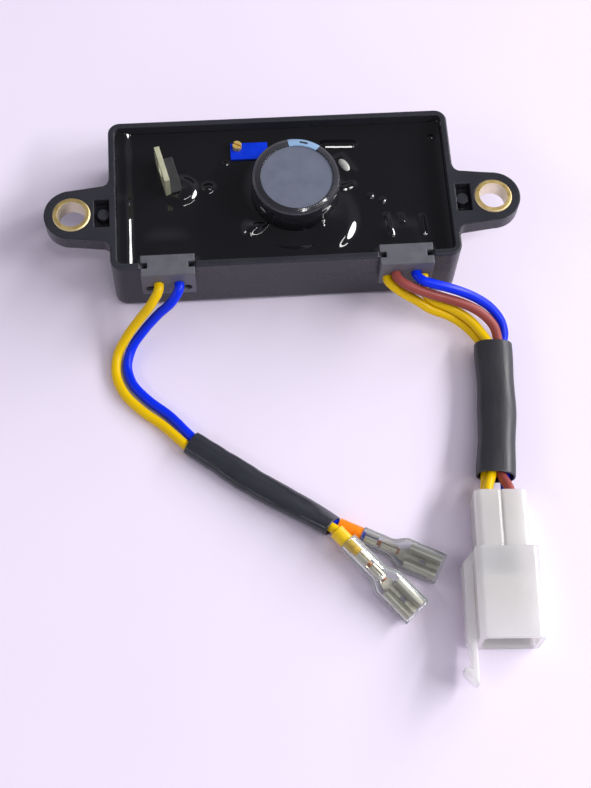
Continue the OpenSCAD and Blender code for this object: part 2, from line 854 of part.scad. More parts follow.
module rectifier(i) axial_diode(bridge_x, bridge_y[i]);
module rectifier_diode_1() rectifier(0);
module rectifier_diode_2() rectifier(1);
module rectifier_diode_3() rectifier(2);
module rectifier_diode_4() rectifier(3);
module flyback_diode() axial_diode(flyback_at[0], flyback_at[1]);

// Resistor on end; its bent lead just lifts the compound
module bleed_resistor() color("#b79a6a")
    translate([bleeder_at[0], bleeder_at[1], 0]) {
        translate([0, 0, board_top]) cylinder(h = bleeder_l, d = bleeder_d);
        translate([0, 0, lead_foot]) cylinder(h = loop_top - lead_foot, d = diode_lead_d);
        translate([0, 0, loop_top]) sphere(d = diode_lead_d);
        translate([0, 0, loop_top]) rotate([0, 90, 0]) cylinder(h = bleeder_gap, d = diode_lead_d);
        translate([bleeder_gap, 0, loop_top]) sphere(d = diode_lead_d);
        translate([bleeder_gap, 0, lead_foot]) cylinder(h = loop_top - lead_foot, d = diode_lead_d);
    }

module control_transistor() color("#202022")
    translate([control_at[0], control_at[1], 0]) {
        translate([0, 0, control_base])
            difference() {
                cylinder(h = control_h, r = control_r);
                translate([control_r * 0.6, -through / 2, -touch]) cube([through, through, through]);
            }
        for (i = [-1, 0, 1])
            translate([0, i * control_pitch, lead_foot])
                cylinder(h = control_base + touch - lead_foot, d = diode_lead_d / 2);
    }

// Rubber block with a groove that grips the wall round its slot; its middle leaves room at the sides
module grommet_blank(s) {
    middle_w = slot_w - 2 * slot_gap;
    translate([s * grommet_x, 0, 0]) {
        translate([-grommet_w / 2, wall_in_y, grommet_foot]) cube([grommet_w, inner_flange_t, grommet_h]);
        translate([-middle_w / 2, wall_out_y, slot_foot]) cube([middle_w, wall_t, case_h - slot_foot]);
        translate([-grommet_w / 2, grommet_out_y, grommet_foot]) cube([grommet_w, outer_flange_t, grommet_h]);
    }
}

module grommet_holes(s) {
    for (i = [-1, 1]) {
        translate([s * grommet_x + i * upper_hole_x, 0, upper_hole_z])
            rotate([90, 0, 0]) cylinder(h = through, d = wire_d);
        translate([s * grommet_x + i * lower_hole_x, 0, lower_hole_z])
            rotate([90, 0, 0]) cylinder(h = through, d = wire_d);
    }
}

module grommet(s) color("#38383b")
    difference() {
        grommet_blank(s);
        grommet_holes(s);
    }

module left_grommet() grommet(-1);
module right_grommet() grommet(1);

// Ends of the wires inside the compound, behind the grommets
module wire_end(x, z) {
    translate([x, wire_in_y, z]) rotate([90, 0, 0]) cylinder(h = wire_in, d = wire_d);
}

module wire_sockets() {
    for (i = [-1, 1]) {
        wire_end(-grommet_x + i * upper_hole_x, upper_hole_z);
        wire_end(grommet_x + i * upper_hole_x, upper_hole_z);
        wire_end(grommet_x + i * lower_hole_x, lower_hole_z);
    }
}

// Bared end of a wire, bent down to the board
module wire_core(x, z) {
    translate([x, wire_in_y + core_run, z]) rotate([90, 0, 0]) cylinder(h = core_run, d = core_d);
    translate([x, wire_in_y + core_run, z]) sphere(d = core_d);
    translate([x, wire_in_y + core_run, lead_foot]) cylinder(h = z - lead_foot, d = core_d);
}

module left_wire_cores() color("#b9764a")
    for (i = [-1, 1]) wire_core(-grommet_x + i * upper_hole_x, upper_hole_z);

module right_wire_cores() color("#b9764a")
    for (i = [-1, 1]) {
        wire_core(grommet_x + i * upper_hole_x, upper_hole_z);
        wire_core(grommet_x + i * lower_hole_x, lower_hole_z);
    }

module left_yellow_wire() color("#e6c000") cord(left_yellow_route, wire_d, 8);
module left_blue_wire() color("#0a1eff") cord(left_blue_route, wire_d, 8);
module right_yellow_wire_1() color("#e6c000") cord(right_yellow_1_route, wire_d, 8);
module right_yellow_wire_2() color("#e6c000") cord(right_yellow_2_route, wire_d, 8);
module right_brown_wire() color("#7a4848") cord(right_brown_route, wire_d, 8);
module right_blue_wire() color("#0a1eff") cord(right_blue_route, wire_d, 8);

module left_sleeve() color("#38383b")
    hollow_tube(
        left_sleeve_route,
        [for (s = left_sleeve_swell) left_hollow + s],
        left_sleeve_twist,
        sleeve_t,
        24
    );

module right_sleeve() color("#38383b")
    hollow_tube(
        right_sleeve_route,
        [for (p = right_sleeve_route) right_hollow],
        [for (p = right_sleeve_route) 0],
        sleeve_t,
        24
    );

// Frame of a terminal: X along its axis toward the mouth, Z up, origin in the middle of the mouth
module at_terminal(mouth, head, slope) {
    translate(mouth) rotate([0, -slope, head]) children();
}

// Coloured sleeve on a wire behind a terminal
module marker(mouth, head, slope, front) {
    at_terminal(mouth, head, slope)
        translate([front, 0, 0])
            rotate([0, -90, 0])
                difference() {
                    cylinder(h = marker_l, d = marker_d);
                    translate([0, 0, -touch]) cylinder(h = marker_l + 2 * touch, d = wire_d + 2 * marker_gap);
                }
}

module yellow_marker() color("#e6c000") marker(low_mouth, low_heading, low_slope, low_marker_front);
module orange_marker() color("#ff8c00") marker(high_mouth, high_heading, high_slope, high_marker_front);

// Section of the rolled part: a flat floor and two edges rolled back toward the tab's room
module rolled_section() {
    roll_r = roll_d / 2;
    roll_y = terminal_w / 2 - roll_r;
    translate([-roll_y, -roll_r]) square([2 * roll_y, sheet_t]);
    for (s = [-1, 1])
        difference() {
            translate([s * roll_y, 0]) circle(roll_r);
            translate([s * roll_y, 0]) circle(roll_r - sheet_t);
            translate([s > 0 ? roll_y - roll_d : -roll_y, sheet_t - roll_r]) square([roll_d, tab_room]);
        }
}

// Push-on terminal: rolled receptacle, neck, crimp on the bared core and crimp on the wire's cover
module terminal() {
    difference() {
        translate([box_back, 0, 0])
            rotate([90, 0, 90]) linear_extrude(terminal_box_l) rolled_section();
        translate([box_back + terminal_box_l / 2, 0, -roll_d / 2 - touch])
            cylinder(h = sheet_t + 2 * touch, d = detent_d);
    }
    neck_front = terminal_w / 2 - roll_d / 2;
    neck_back = core_crimp_d / 2 - 0.3;
    difference() {
        translate([0, 0, -axis_rise])
            linear_extrude(sheet_t)
                polygon([
                    [box_back + touch, -neck_front],
                    [box_back + touch, neck_front],
                    [box_back - neck_l, neck_back],
                    [crimp_back, neck_back],
                    [crimp_back, -neck_back],
                    [box_back - neck_l, -neck_back]
                ]);
        translate([crimp_back - touch, 0, 0])
            rotate([0, 90, 0]) cylinder(h = crimp_l + crimp_gap, d = wire_d);
    }
    crimp_tube(core_crimp_back, core_crimp_l, core_crimp_d, core_d);
    crimp_tube(crimp_back, crimp_l, crimp_d, wire_d);
}

// Crimp barrel closed over the wire, with the seam where its two wings meet
module crimp_tube(x, l, d, bore) {
    translate([x, 0, 0])
        difference() {
            union() {
                rotate([0, 90, 0]) cylinder(h = l, d = d);
                translate([0, -d / 4, -axis_rise]) cube([l, d / 2, axis_rise]);
            }
            translate([-touch, 0, 0]) rotate([0, 90, 0]) cylinder(h = l + 2 * touch, d = bore);
            translate([-touch, -seam_w / 2, 0]) cube([l + 2 * touch, seam_w, d]);
        }
}

module low_terminal() color("#c9c9c2") at_terminal(low_mouth, low_heading, low_slope) terminal();
module high_terminal() color("#c9c9c2") at_terminal(high_mouth, high_heading, high_slope) terminal();

// Bared core in the terminal's core crimp
module terminal_core() {
    translate([core_crimp_back - crimp_gap, 0, 0])
        rotate([0, 90, 0]) cylinder(h = core_crimp_l + crimp_gap + 0.6, d = core_d);
}

module low_terminal_core() color("#b9764a") at_terminal(low_mouth, low_heading, low_slope) terminal_core();
module high_terminal_core() color("#b9764a") at_terminal(high_mouth, high_heading, high_slope) terminal_core();

// Clear boot: flat and wide round the rolled part, round behind it, open at both ends
function boot_stations(tail, rear) = [
    [crimp_back - tail, [rear, rear]],
    [box_back - neck_l - boot_taper_l, [rear, rear]],
    [box_back - neck_l - 0.2, boot_neck],
    [box_back - 0.8, boot_front],
    [0, boot_front]
];

module boot(mouth, head, slope, stations) {
    hollow_tube(
        [for (b = stations) on_axis(mouth, head, slope, b[0])],
        [for (b = stations) b[1]],
        [for (b = stations) 0],
        boot_t,
        32
    );
}

module low_boot() color("#dfe3e6", 0.45)
    boot(low_mouth, low_heading, low_slope, boot_stations(low_boot_tail, low_boot_rear));

module high_boot() color("#dfe3e6", 0.45)
    boot(high_mouth, high_heading, high_slope, boot_stations(high_boot_tail, high_boot_rear));

// Frame of the connector: origin on the table under its rear face, -Y toward its mouth
module at_plug() {
    translate(plug_at) rotate([0, 0, plug_turn]) children();
}

// Block along -Y with rounded long edges
module plug_block(x, y, w, h, l, r) {
    translate([x, y, h / 2]) rotate([90, 0, 0]) linear_extrude(l) rounded_flat(w, h, r);
}

// Latch arm beside the front block, with a barbed end in front of it
module latch() {
    outer = plug_shift - plug_w / 2;
    x0 = outer - latch_gap - latch_w;
    y0 = -tail_l;
    y1 = -tail_l - plug_l;
    y2 = y1 - latch_reach;
    translate([0, 0, plug_h / 2 - latch_h / 2])
        linear_extrude(latch_h)
            polygon([
                [outer + touch, y0 - touch],
                [outer - latch_gap, y0 - 0.6],
                [x0, y0 - latch_root],
                [x0, y1],
                [x0 + latch_w - latch_tip_w, y1 - 0.6],
                [x0 + latch_w - latch_tip_w, y2 + barb_l - 0.4],
                [x0 + latch_w - latch_tip_w - barb, y2 + barb_l],
                [x0 + latch_w - latch_tip_w - barb, y2 + barb_l - 0.8],
                [x0 + latch_w - 0.5, y2],
                [x0 + latch_w, y2],
                [x0 + latch_w, y0 - latch_root],
                [outer + touch, y0 - latch_root]
            ]);
}

module connector_housing() color("#d9d5ce")
    at_plug()
        difference() {
            union() {
                plug_block(0, 0, tail_w, tail_h, tail_l + touch, plug_edge_r);
                plug_block(plug_shift, -tail_l, plug_w, plug_h, plug_l, plug_edge_r);
                latch();
            }
            translate([plug_shift, -tail_l - plug_l + shroud_depth, plug_h / 2])
                rotate([90, 0, 0])
                    linear_extrude(through)
                        rounded_flat(plug_w - 2 * shroud_t, plug_h - 2 * shroud_t, plug_edge_r / 2);
            for (sx = [-1, 1], sz = [-1, 1]) {
                translate([sx * contact_x - cell_w / 2, -tail_l, bundle_z + sz * contact_z - cell_w / 2])
                    cube([cell_w, through, cell_w]);
                translate([sx * contact_x - blade_w / 2, -through, bundle_z + sz * contact_z - blade_t / 2])
                    cube([blade_w, through, blade_t]);
            }
            translate([-groove_w / 2, -tail_l, tail_h - groove_t])
                cube([groove_w, through, through]);
        }

// Contact: crimp barrel on the wire, neck, and flat blade that stands in the shroud
module contact(sx, sz) color("#c9b06a")
    at_plug()
        translate([sx * contact_x, 0, bundle_z + sz * contact_z]) {
            difference() {
                translate([0, -wire_into_plug + barrel_l, 0])
                    rotate([90, 0, 0]) cylinder(h = barrel_l + 1, d = barrel_d);
                translate([0, -wire_into_plug + through, 0])
                    rotate([90, 0, 0]) cylinder(h = through, d = wire_d);
            }
            translate([-contact_neck[0] / 2, -tail_l - touch, -contact_neck[1] / 2])
                cube([contact_neck[0], tail_l - wire_into_plug - 0.5, contact_neck[1]]);
        }

module contact_blade(sx, sz) color("#c9b06a")
    at_plug()
        translate([sx * contact_x - blade_w / 2, -tail_l - blade_tip, bundle_z + sz * contact_z - blade_t / 2])
            cube([blade_w, blade_tip, blade_t]);

module contact_1() {
    contact(-1, -1);
    contact_blade(-1, -1);
}

module contact_2() {
    contact(-1, 1);
    contact_blade(-1, 1);
}

module contact_3() {
    contact(1, 1);
    contact_blade(1, 1);
}

module contact_4() {
    contact(1, -1);
    contact_blade(1, -1);
}

case();
left_bushing();
right_bushing();
potting_compound();
circuit_board();
capacitor_can();
capacitor_sleeve();
capacitor_end_disc();
capacitor_leads();
transistor_body();
transistor_tab();
transistor_leads();
trimmer_body();
trimmer_screw();
trimmer_pins();
ceramic_capacitor();
rectifier_diode_1();
rectifier_diode_2();
rectifier_diode_3();
rectifier_diode_4();
flyback_diode();
bleed_resistor();
control_transistor();
left_grommet();
right_grommet();
left_wire_cores();
right_wire_cores();
left_yellow_wire();
left_blue_wire();
right_yellow_wire_1();
right_yellow_wire_2();
right_brown_wire();
right_blue_wire();
left_sleeve();
right_sleeve();
yellow_marker();
orange_marker();
low_terminal();
high_terminal();
low_terminal_core();
high_terminal_core();
low_boot();
high_boot();
connector_housing();
contact_1();
contact_2();
contact_3();
contact_4();
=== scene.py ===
"""Looks of a small generator's voltage regulator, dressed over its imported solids.

The frame is the solids' own, in metres. Lengths that come from the part's drawing are written in
millimetres, and MM turns them to metres.
"""
import math

import bpy
import numpy as np
from mathutils import Matrix


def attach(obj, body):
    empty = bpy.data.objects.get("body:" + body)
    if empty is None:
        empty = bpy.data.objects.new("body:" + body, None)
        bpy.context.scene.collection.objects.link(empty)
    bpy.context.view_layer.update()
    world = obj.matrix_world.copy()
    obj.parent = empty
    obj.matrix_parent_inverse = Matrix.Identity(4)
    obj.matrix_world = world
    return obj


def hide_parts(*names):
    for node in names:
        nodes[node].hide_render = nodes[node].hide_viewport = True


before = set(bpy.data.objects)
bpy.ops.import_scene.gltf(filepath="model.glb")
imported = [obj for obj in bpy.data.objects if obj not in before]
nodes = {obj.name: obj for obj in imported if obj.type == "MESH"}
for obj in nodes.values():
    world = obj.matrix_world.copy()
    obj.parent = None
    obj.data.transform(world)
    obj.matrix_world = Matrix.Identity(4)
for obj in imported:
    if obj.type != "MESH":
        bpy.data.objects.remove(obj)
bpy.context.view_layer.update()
scene = bpy.context.scene

MM = 0.001
BODY = "regulator"

# Camera: tilt below the level, roll, turn about the upright, distance, nearest thing that it shows,
# point of the table that it looks at, and focal length and picture height in pixels
CAMERA_TILT = math.radians(66.57)
CAMERA_ROLL = math.radians(3.60)
CAMERA_TURN = math.radians(7.14)
CAMERA_FAR = 365.03 * MM
CAMERA_NEAR = 10 * MM
CAMERA_AIM = np.array([0.57, -47.64, 0.0]) * MM
FOCAL_PIXELS = 1463.79
PICTURE_HEIGHT = 788
SENSOR_MM = 36.0


def place_camera():
    """Camera on the line from the aimed point back along the view, rolled about that line."""
    sin_turn, cos_turn = math.sin(CAMERA_TURN), math.cos(CAMERA_TURN)
    reach, drop = math.cos(CAMERA_TILT), math.sin(CAMERA_TILT)
    ahead = np.array([sin_turn * reach, cos_turn * reach, -drop])
    level = np.array([cos_turn, -sin_turn, 0.0])
    upright = np.cross(level, ahead)
    right = math.cos(CAMERA_ROLL) * level + math.sin(CAMERA_ROLL) * upright
    top = -math.sin(CAMERA_ROLL) * level + math.cos(CAMERA_ROLL) * upright
    place = np.eye(4)
    place[:3, :4] = np.column_stack([right, top, -ahead, CAMERA_AIM - ahead * CAMERA_FAR])
    data = bpy.data.cameras.new("table_camera")
    data.sensor_fit = "VERTICAL"
    data.sensor_height = SENSOR_MM
    data.lens = FOCAL_PIXELS * SENSOR_MM / PICTURE_HEIGHT
    data.clip_start = CAMERA_NEAR
    camera = bpy.data.objects.new("table_camera", data)
    scene.collection.objects.link(camera)
    camera.matrix_world = Matrix(place.tolist())
    scene.camera = camera


place_camera()


def linear(code):
    """sRGB hex colour as linear red, green, blue and full alpha."""
    part = np.array([int(code[i:i + 2], 16) for i in (1, 3, 5)]) / 255
    low, high = part / 12.92, ((part + 0.055) / 1.055) ** 2.4
    return (*np.where(part <= 0.04045, low, high).tolist(), 1.0)


def add(tree, kind, sockets=None, **settings):
    """New node of that kind. Settings are its own properties; sockets gives each named or numbered
    input a value or another node's output."""
    node = tree.nodes.new(kind)
    for key, value in settings.items():
        setattr(node, key, value)
    for key, value in (sockets or {}).items():
        if isinstance(value, bpy.types.NodeSocket):
            tree.links.new(value, node.inputs[key])
        else:
            node.inputs[key].default_value = value
    return node


def per_mm(size):
    """Noise scale, per metre, of a pattern whose features are size millimetres wide."""
    return 1 / (size * MM)


# Detail of the blotches and of the grain, the values between which most of a noise lies, and samples
# of a rounded edge
BLOTCH_DETAIL, GRAIN_DETAIL = 4.0, 3.0
NOISE_LOW, NOISE_HIGH = 0.3, 0.7
EDGE_SAMPLES = 6


def finish(name, tones, rough, blotch=6.0, grain=0.25, relief=0.01, along=None, edge=0.0, **shader):
    """Material with two tones that wander over blotches of so many mm, a roughness that wanders
    between two values, and a fine grain of so many mm and relief in mm. With along, the pattern
    follows the piece's own run attribute, stretched that many times lengthwise. With edge, sharp
    edges are rounded by so many mm. Other words set sockets of the shader. A real grain finer than
    about 0.2 mm is drawn that coarse, so that it shows. Gives the material, its tree, its shader,
    its coordinates and the two-tone mix."""
    material = bpy.data.materials.new(name)
    material.use_nodes = True
    tree = material.node_tree
    shade = tree.nodes["Principled BSDF"]
    if along:
        run = add(tree, "ShaderNodeAttribute", attribute_name="run")
        stretch = add(tree, "ShaderNodeMapping",
                      {"Vector": run.outputs["Vector"], "Scale": (1 / along, 1, 1)})
        spot = stretch.outputs["Vector"]
    else:
        spot = add(tree, "ShaderNodeTexCoord").outputs["Object"]
    wander = add(tree, "ShaderNodeTexNoise",
                 {"Vector": spot, "Scale": per_mm(blotch), "Detail": BLOTCH_DETAIL})
    mix = add(tree, "ShaderNodeMix",
              {0: wander.outputs["Fac"], 6: linear(tones[0]), 7: linear(tones[1])}, data_type="RGBA")
    fine = add(tree, "ShaderNodeTexNoise",
               {"Vector": spot, "Scale": per_mm(grain), "Detail": GRAIN_DETAIL})
    gloss = add(tree, "ShaderNodeMapRange",
                {0: wander.outputs["Fac"], 1: NOISE_LOW, 2: NOISE_HIGH, 3: rough[0], 4: rough[1]})
    bump = add(tree, "ShaderNodeBump",
               {"Height": fine.outputs["Fac"], "Distance": relief * MM, "Strength": 1.0})
    if edge:
        soft = add(tree, "ShaderNodeBevel", {"Radius": edge * MM}, samples=EDGE_SAMPLES)
        tree.links.new(soft.outputs["Normal"], bump.inputs["Normal"])
    tree.links.new(mix.outputs[2], shade.inputs["Base Color"])
    tree.links.new(gloss.outputs[0], shade.inputs["Roughness"])
    tree.links.new(bump.outputs["Normal"], shade.inputs["Normal"])
    for key, value in shader.items():
        shade.inputs[key.replace("_", " ")].default_value = value
    return material, tree, shade, spot, mix


# Moulded black ABS: fine spark-eroded grain, so a broad dull sheen on edges and corners
case_abs = finish("moulded_black_abs", ("#2a2a30", "#35353c"), (0.22, 0.36), blotch=9, grain=0.35,
                  relief=0.03, edge=0.5, IOR=1.35)[0]

# Poured black epoxy: a liquid skin that set, so sharp mirror streaks on near black
potting_epoxy = finish("poured_black_epoxy", ("#121215", "#17171a"), (0.03, 0.06), blotch=7, grain=2.5,
                       relief=0.006, IOR=1.5)[0]


def passivated_steel():
    """Yellow-passivated steel: warm iridescent gold on the turned faces, and painted light on upright
    walls, which are painted paler the more upright they stand."""
    material, tree, shade, _, mix = finish(
        "yellow_passivated_steel", ("#dcb65c", "#f2dfa6"), (0.42, 0.56), blotch=1.6, grain=0.3,
        relief=0.01, edge=0.15, Metallic=1.0)
    facing = add(tree, "ShaderNodeTexCoord")
    part = add(tree, "ShaderNodeSeparateXYZ", {0: facing.outputs["Normal"]})
    level = add(tree, "ShaderNodeMath", {0: part.outputs["Z"]}, operation="ABSOLUTE")
    # Painted light: the colour turns toward a pale tone as the face stands upright, so bore and side
    # walls look lit
    pale = add(tree, "ShaderNodeMix", {0: level.outputs[0], 6: linear("#f6ecd6"), 7: mix.outputs[2]},
               data_type="RGBA")
    tree.links.new(pale.outputs[2], shade.inputs["Base Color"])
    return material


bushing_steel = passivated_steel()

# Grey vulcanised disc: dry and matt
disc_board = finish("grey_vulcanised_disc", ("#5c6170", "#6c7284"), (0.5, 0.62), blotch=3, grain=0.3,
                    relief=0.02)[0]

# Moulded epoxy of a power package: dark grey with a fine satin grain
package_epoxy = finish("moulded_package_epoxy", ("#2b2b2d", "#38383a"), (0.4, 0.55), blotch=2,
                       grain=0.25, relief=0.02, edge=0.2)[0]

# Tin-dipped copper tab: pale warm metal with a soft drawn lustre
tab_metal = finish("tin_dipped_copper", ("#c8c8a4", "#dedec2"), (0.42, 0.55), blotch=1.5, grain=0.3,
                   relief=0.01, edge=0.12, Metallic=0.5)[0]

# Blue thermoset of the trimmer: saturated, satin
trimmer_blue = finish("blue_thermoset", ("#0430d0", "#0a42f2"), (0.35, 0.45), blotch=2.2, grain=0.3,
                      relief=0.015, edge=0.15, IOR=1.3)[0]

# Turned brass: bright yellow metal, fine tool marks
screw_brass = finish("turned_brass", ("#e4bd52", "#f6dd90"), (0.4, 0.52), blotch=0.8, grain=0.2,
                     relief=0.008, edge=0.1, Metallic=0.65)[0]

# Dipped ceramic disc: pale grey resin skin with small dimples
ceramic_dip = finish("grey_dipped_resin", ("#9c9c98", "#b6b6b0"), (0.25, 0.4), blotch=1.5, grain=0.6,
                     relief=0.04)[0]

# Moulded black rubber: dusty, slightly grey, with a soft edge
grommet_rubber = finish("moulded_black_rubber", ("#4f4f55", "#67676f"), (0.45, 0.65), blotch=2.5,
                        grain=0.3, relief=0.03, edge=0.5)[0]

# Heat-shrunk polyolefin: smooth black skin with faint lengthwise draw lines
shrunk_sleeve = finish("shrunk_black_polyolefin", ("#26272d", "#35373f"), (0.18, 0.3), blotch=1.6,
                       grain=0.7, relief=0.05, along=6)[0]

# Loose black vinyl tube: a little softer and greyer than the shrunk one
vinyl_tube = finish("black_vinyl_tube", ("#29292d", "#36363b"), (0.35, 0.5), blotch=2.2, grain=0.8,
                    relief=0.05, along=5)[0]

# Extruded vinyl wire covers: strong colour, wet sheen and faint lengthwise streaks
yellow_cover = finish("yellow_vinyl_cover", ("#e0b200", "#f6ce00"), (0.26, 0.38), blotch=1.2, grain=0.5,
                      relief=0.02, along=10, IOR=1.3)[0]
blue_cover = finish("blue_vinyl_cover", ("#0224cc", "#0434fa"), (0.26, 0.38), blotch=1.2, grain=0.5,
                    relief=0.02, along=10, IOR=1.3)[0]
brown_cover = finish("brown_vinyl_cover", ("#8a3f38", "#a3524c"), (0.28, 0.4), blotch=1.2, grain=0.5,
                     relief=0.02, along=10, IOR=1.3)[0]

# Coloured marker sleeves: thin glossy vinyl
yellow_marker_vinyl = finish("yellow_marker_vinyl", ("#e0b400", "#f2cf20"), (0.22, 0.34), blotch=1.2,
                             grain=0.4, relief=0.02)[0]
orange_marker_vinyl = finish("orange_marker_vinyl", ("#f57a00", "#ff9412"), (0.22, 0.34), blotch=1.2,
                             grain=0.4, relief=0.02)[0]

# Tin-plated brass strip: bright, slightly milky metal with rolling marks
tinned_brass = finish("tin_plated_brass", ("#d2cbb2", "#f0ece0"), (0.34, 0.48), blotch=1.4, grain=0.35,
                      relief=0.012, edge=0.1, Metallic=1.0)[0]

# Bare copper strands: reddish metal, slightly dulled
copper = finish("bare_copper", ("#b06c42", "#c98a5c"), (0.3, 0.45), blotch=1, grain=0.25, relief=0.03,
                Metallic=1.0)[0]

# Tinned copper leads: pale and bright as solder
tinned_lead = finish("tinned_lead", ("#c3c3be", "#d6d6d0"), (0.25, 0.4), blotch=1, grain=0.3,
                     relief=0.01, Metallic=1.0)[0]

# Nylon: share of the light that goes on through a wall, and the outer skin's roughness and IOR, which
# is above the usual 1.53 so that the thin bright lines show
NYLON_THROUGH = 0.6
NYLON_SKIN_ROUGH, NYLON_SKIN_IOR = 0.2, 2.0


def natural_nylon():
    """Natural nylon 66: milky and waxy. Most of the light goes on through a wall, so hollows glow, and
    a smooth outer skin mirrors the lamps by the Fresnel share, as bright lines along round edges."""
    material, tree, shade, *_ = finish(
        "natural_nylon", ("#f2f2f4", "#fbfbfd"), (0.3, 0.4), blotch=5, grain=0.5, relief=0.015,
        edge=0.9, Specular_IOR_Level=0.0)
    normal = shade.inputs["Normal"].links[0].from_socket
    through = add(tree, "ShaderNodeBsdfTranslucent", {"Color": linear("#fffdfb")})
    body = add(tree, "ShaderNodeMixShader",
               {0: NYLON_THROUGH, 1: shade.outputs[0], 2: through.outputs[0]})
    shine = add(tree, "ShaderNodeBsdfGlossy", {"Roughness": NYLON_SKIN_ROUGH, "Normal": normal})
    mirror = add(tree, "ShaderNodeFresnel", {"IOR": NYLON_SKIN_IOR, "Normal": normal})
    side = add(tree, "ShaderNodeNewGeometry")
    front = add(tree, "ShaderNodeMath", {0: 1.0, 1: side.outputs["Backfacing"]}, operation="SUBTRACT")
    share = add(tree, "ShaderNodeMath", {0: mirror.outputs[0], 1: front.outputs[0]},
                operation="MULTIPLY")
    whole = add(tree, "ShaderNodeMixShader",
                {0: share.outputs[0], 1: body.outputs[0], 2: shine.outputs[0]})
    tree.links.new(whole.outputs[0], tree.nodes["Material Output"].inputs["Surface"])
    return material


nylon = natural_nylon()

# Pressed paper laminate of the circuit board: brown and dull
laminate = finish("paper_laminate", ("#6d4c22", "#845f30"), (0.5, 0.65), blotch=3, grain=0.4,
                  relief=0.02)[0]

# Drawn aluminium of the capacitor's can: pale grey metal with a soft lustre
aluminium = finish("drawn_aluminium", ("#b4b7bc", "#c8cbd0"), (0.25, 0.4), blotch=2, grain=0.3,
                   relief=0.01, Metallic=1.0)[0]

# Baked resistor lacquer: tan, satin, a little uneven
resistor_lacquer = finish("tan_resistor_lacquer", ("#b0925f", "#c4a878"), (0.3, 0.45), blotch=1.5,
                          grain=0.4, relief=0.03)[0]

# Rolled brass of the connector's contacts: dull yellow metal, bright at its edges
contact_brass = finish("rolled_contact_brass", ("#b79d55", "#d2ba78"), (0.25, 0.4), blotch=1.2,
                       grain=0.3, relief=0.01, edge=0.1, Metallic=1.0)[0]

# Middle and radius of the capacitor, the sector of its polarity stripe, and the bar's own sector, its
# radius and half its width, in mm
CAP_X, CAP_Y, CAP_R = 3.2, 0.1, 11.0
STRIPE_MIDDLE = math.radians(74.5)
STRIPE_HALF = math.radians(23)
BAR_HALF = math.radians(6)
BAR_RADIUS = 9.75
BAR_HALF_WIDTH = 0.35


def capacitor_vinyl():
    """Shrunk black vinyl with a pale polarity stripe over one sector, told by the angle about the
    capacitor's axis, and a short dark bar across the stripe, told by angle and radius."""
    material, tree, shade, spot, mix = finish(
        "shrunk_black_vinyl", ("#232328", "#2e2e34"), (0.06, 0.12), blotch=3, grain=0.5, relief=0.006,
        IOR=1.75)
    middle = add(tree, "ShaderNodeMapping",
                 {"Vector": spot, "Location": (-CAP_X * MM, -CAP_Y * MM, 0)})
    part = add(tree, "ShaderNodeSeparateXYZ", {0: middle.outputs[0]})
    turn = add(tree, "ShaderNodeMath", {0: part.outputs["Y"], 1: part.outputs["X"]},
               operation="ARCTAN2")
    flat = add(tree, "ShaderNodeCombineXYZ", {0: part.outputs["X"], 1: part.outputs["Y"]})
    out = add(tree, "ShaderNodeVectorMath", {0: flat.outputs[0]}, operation="LENGTH")
    stripe = add(tree, "ShaderNodeMath", {0: turn.outputs[0], 1: STRIPE_MIDDLE, 2: STRIPE_HALF},
                 operation="COMPARE")
    sector = add(tree, "ShaderNodeMath", {0: turn.outputs[0], 1: STRIPE_MIDDLE, 2: BAR_HALF},
                 operation="COMPARE")
    ring = add(tree, "ShaderNodeMath",
               {0: out.outputs["Value"], 1: BAR_RADIUS * MM, 2: BAR_HALF_WIDTH * MM},
               operation="COMPARE")
    bar = add(tree, "ShaderNodeMath", {0: sector.outputs[0], 1: ring.outputs[0]},
              operation="MULTIPLY")
    pale = add(tree, "ShaderNodeMix", {0: bar.outputs[0], 6: linear("#8aaccf"), 7: linear("#1d2436")},
               data_type="RGBA")
    whole = add(tree, "ShaderNodeMix", {0: stripe.outputs[0], 6: mix.outputs[2], 7: pale.outputs[2]},
                data_type="RGBA")
    tree.links.new(whole.outputs[2], shade.inputs["Base Color"])
    return material


cap_vinyl = capacitor_vinyl()

# Clear vinyl: the skin's roughness and IOR, how soon the wall turns milky toward its edges, and how
# milky it is where it faces the eye and at its edges
VINYL_SKIN_ROUGH, VINYL_SKIN_IOR = 0.07, 1.42
MILK_BLEND, MILK_MIDDLE, MILK_EDGE = 0.25, 0.03, 0.75


def clear_vinyl():
    """Clear soft vinyl: by the Fresnel share of the view the wall mirrors the lamps or lets the light
    through, and toward its edges it turns a little milky."""
    material, tree, shade, *_ = finish(
        "clear_soft_vinyl", ("#eceff0", "#f8f9fa"), (0.1, 0.2), blotch=2, grain=1.5, relief=0.05,
        along=4)
    normal = shade.inputs["Normal"].links[0].from_socket
    clear = add(tree, "ShaderNodeBsdfTransparent", {"Color": linear("#fafbfb")})
    shine = add(tree, "ShaderNodeBsdfGlossy", {"Roughness": VINYL_SKIN_ROUGH, "Normal": normal})
    share = add(tree, "ShaderNodeFresnel", {"IOR": VINYL_SKIN_IOR, "Normal": normal})
    wall = add(tree, "ShaderNodeMixShader",
               {0: share.outputs[0], 1: clear.outputs[0], 2: shine.outputs[0]})
    facing = add(tree, "ShaderNodeLayerWeight", {"Blend": MILK_BLEND})
    milk = add(tree, "ShaderNodeMapRange",
               {0: facing.outputs["Facing"], 1: 0.0, 2: 1.0, 3: MILK_MIDDLE, 4: MILK_EDGE})
    whole = add(tree, "ShaderNodeMixShader",
                {0: milk.outputs[0], 1: wall.outputs[0], 2: shade.outputs[0]})
    tree.links.new(whole.outputs[0], tree.nodes["Material Output"].inputs["Surface"])
    return material


boot_vinyl = clear_vinyl()

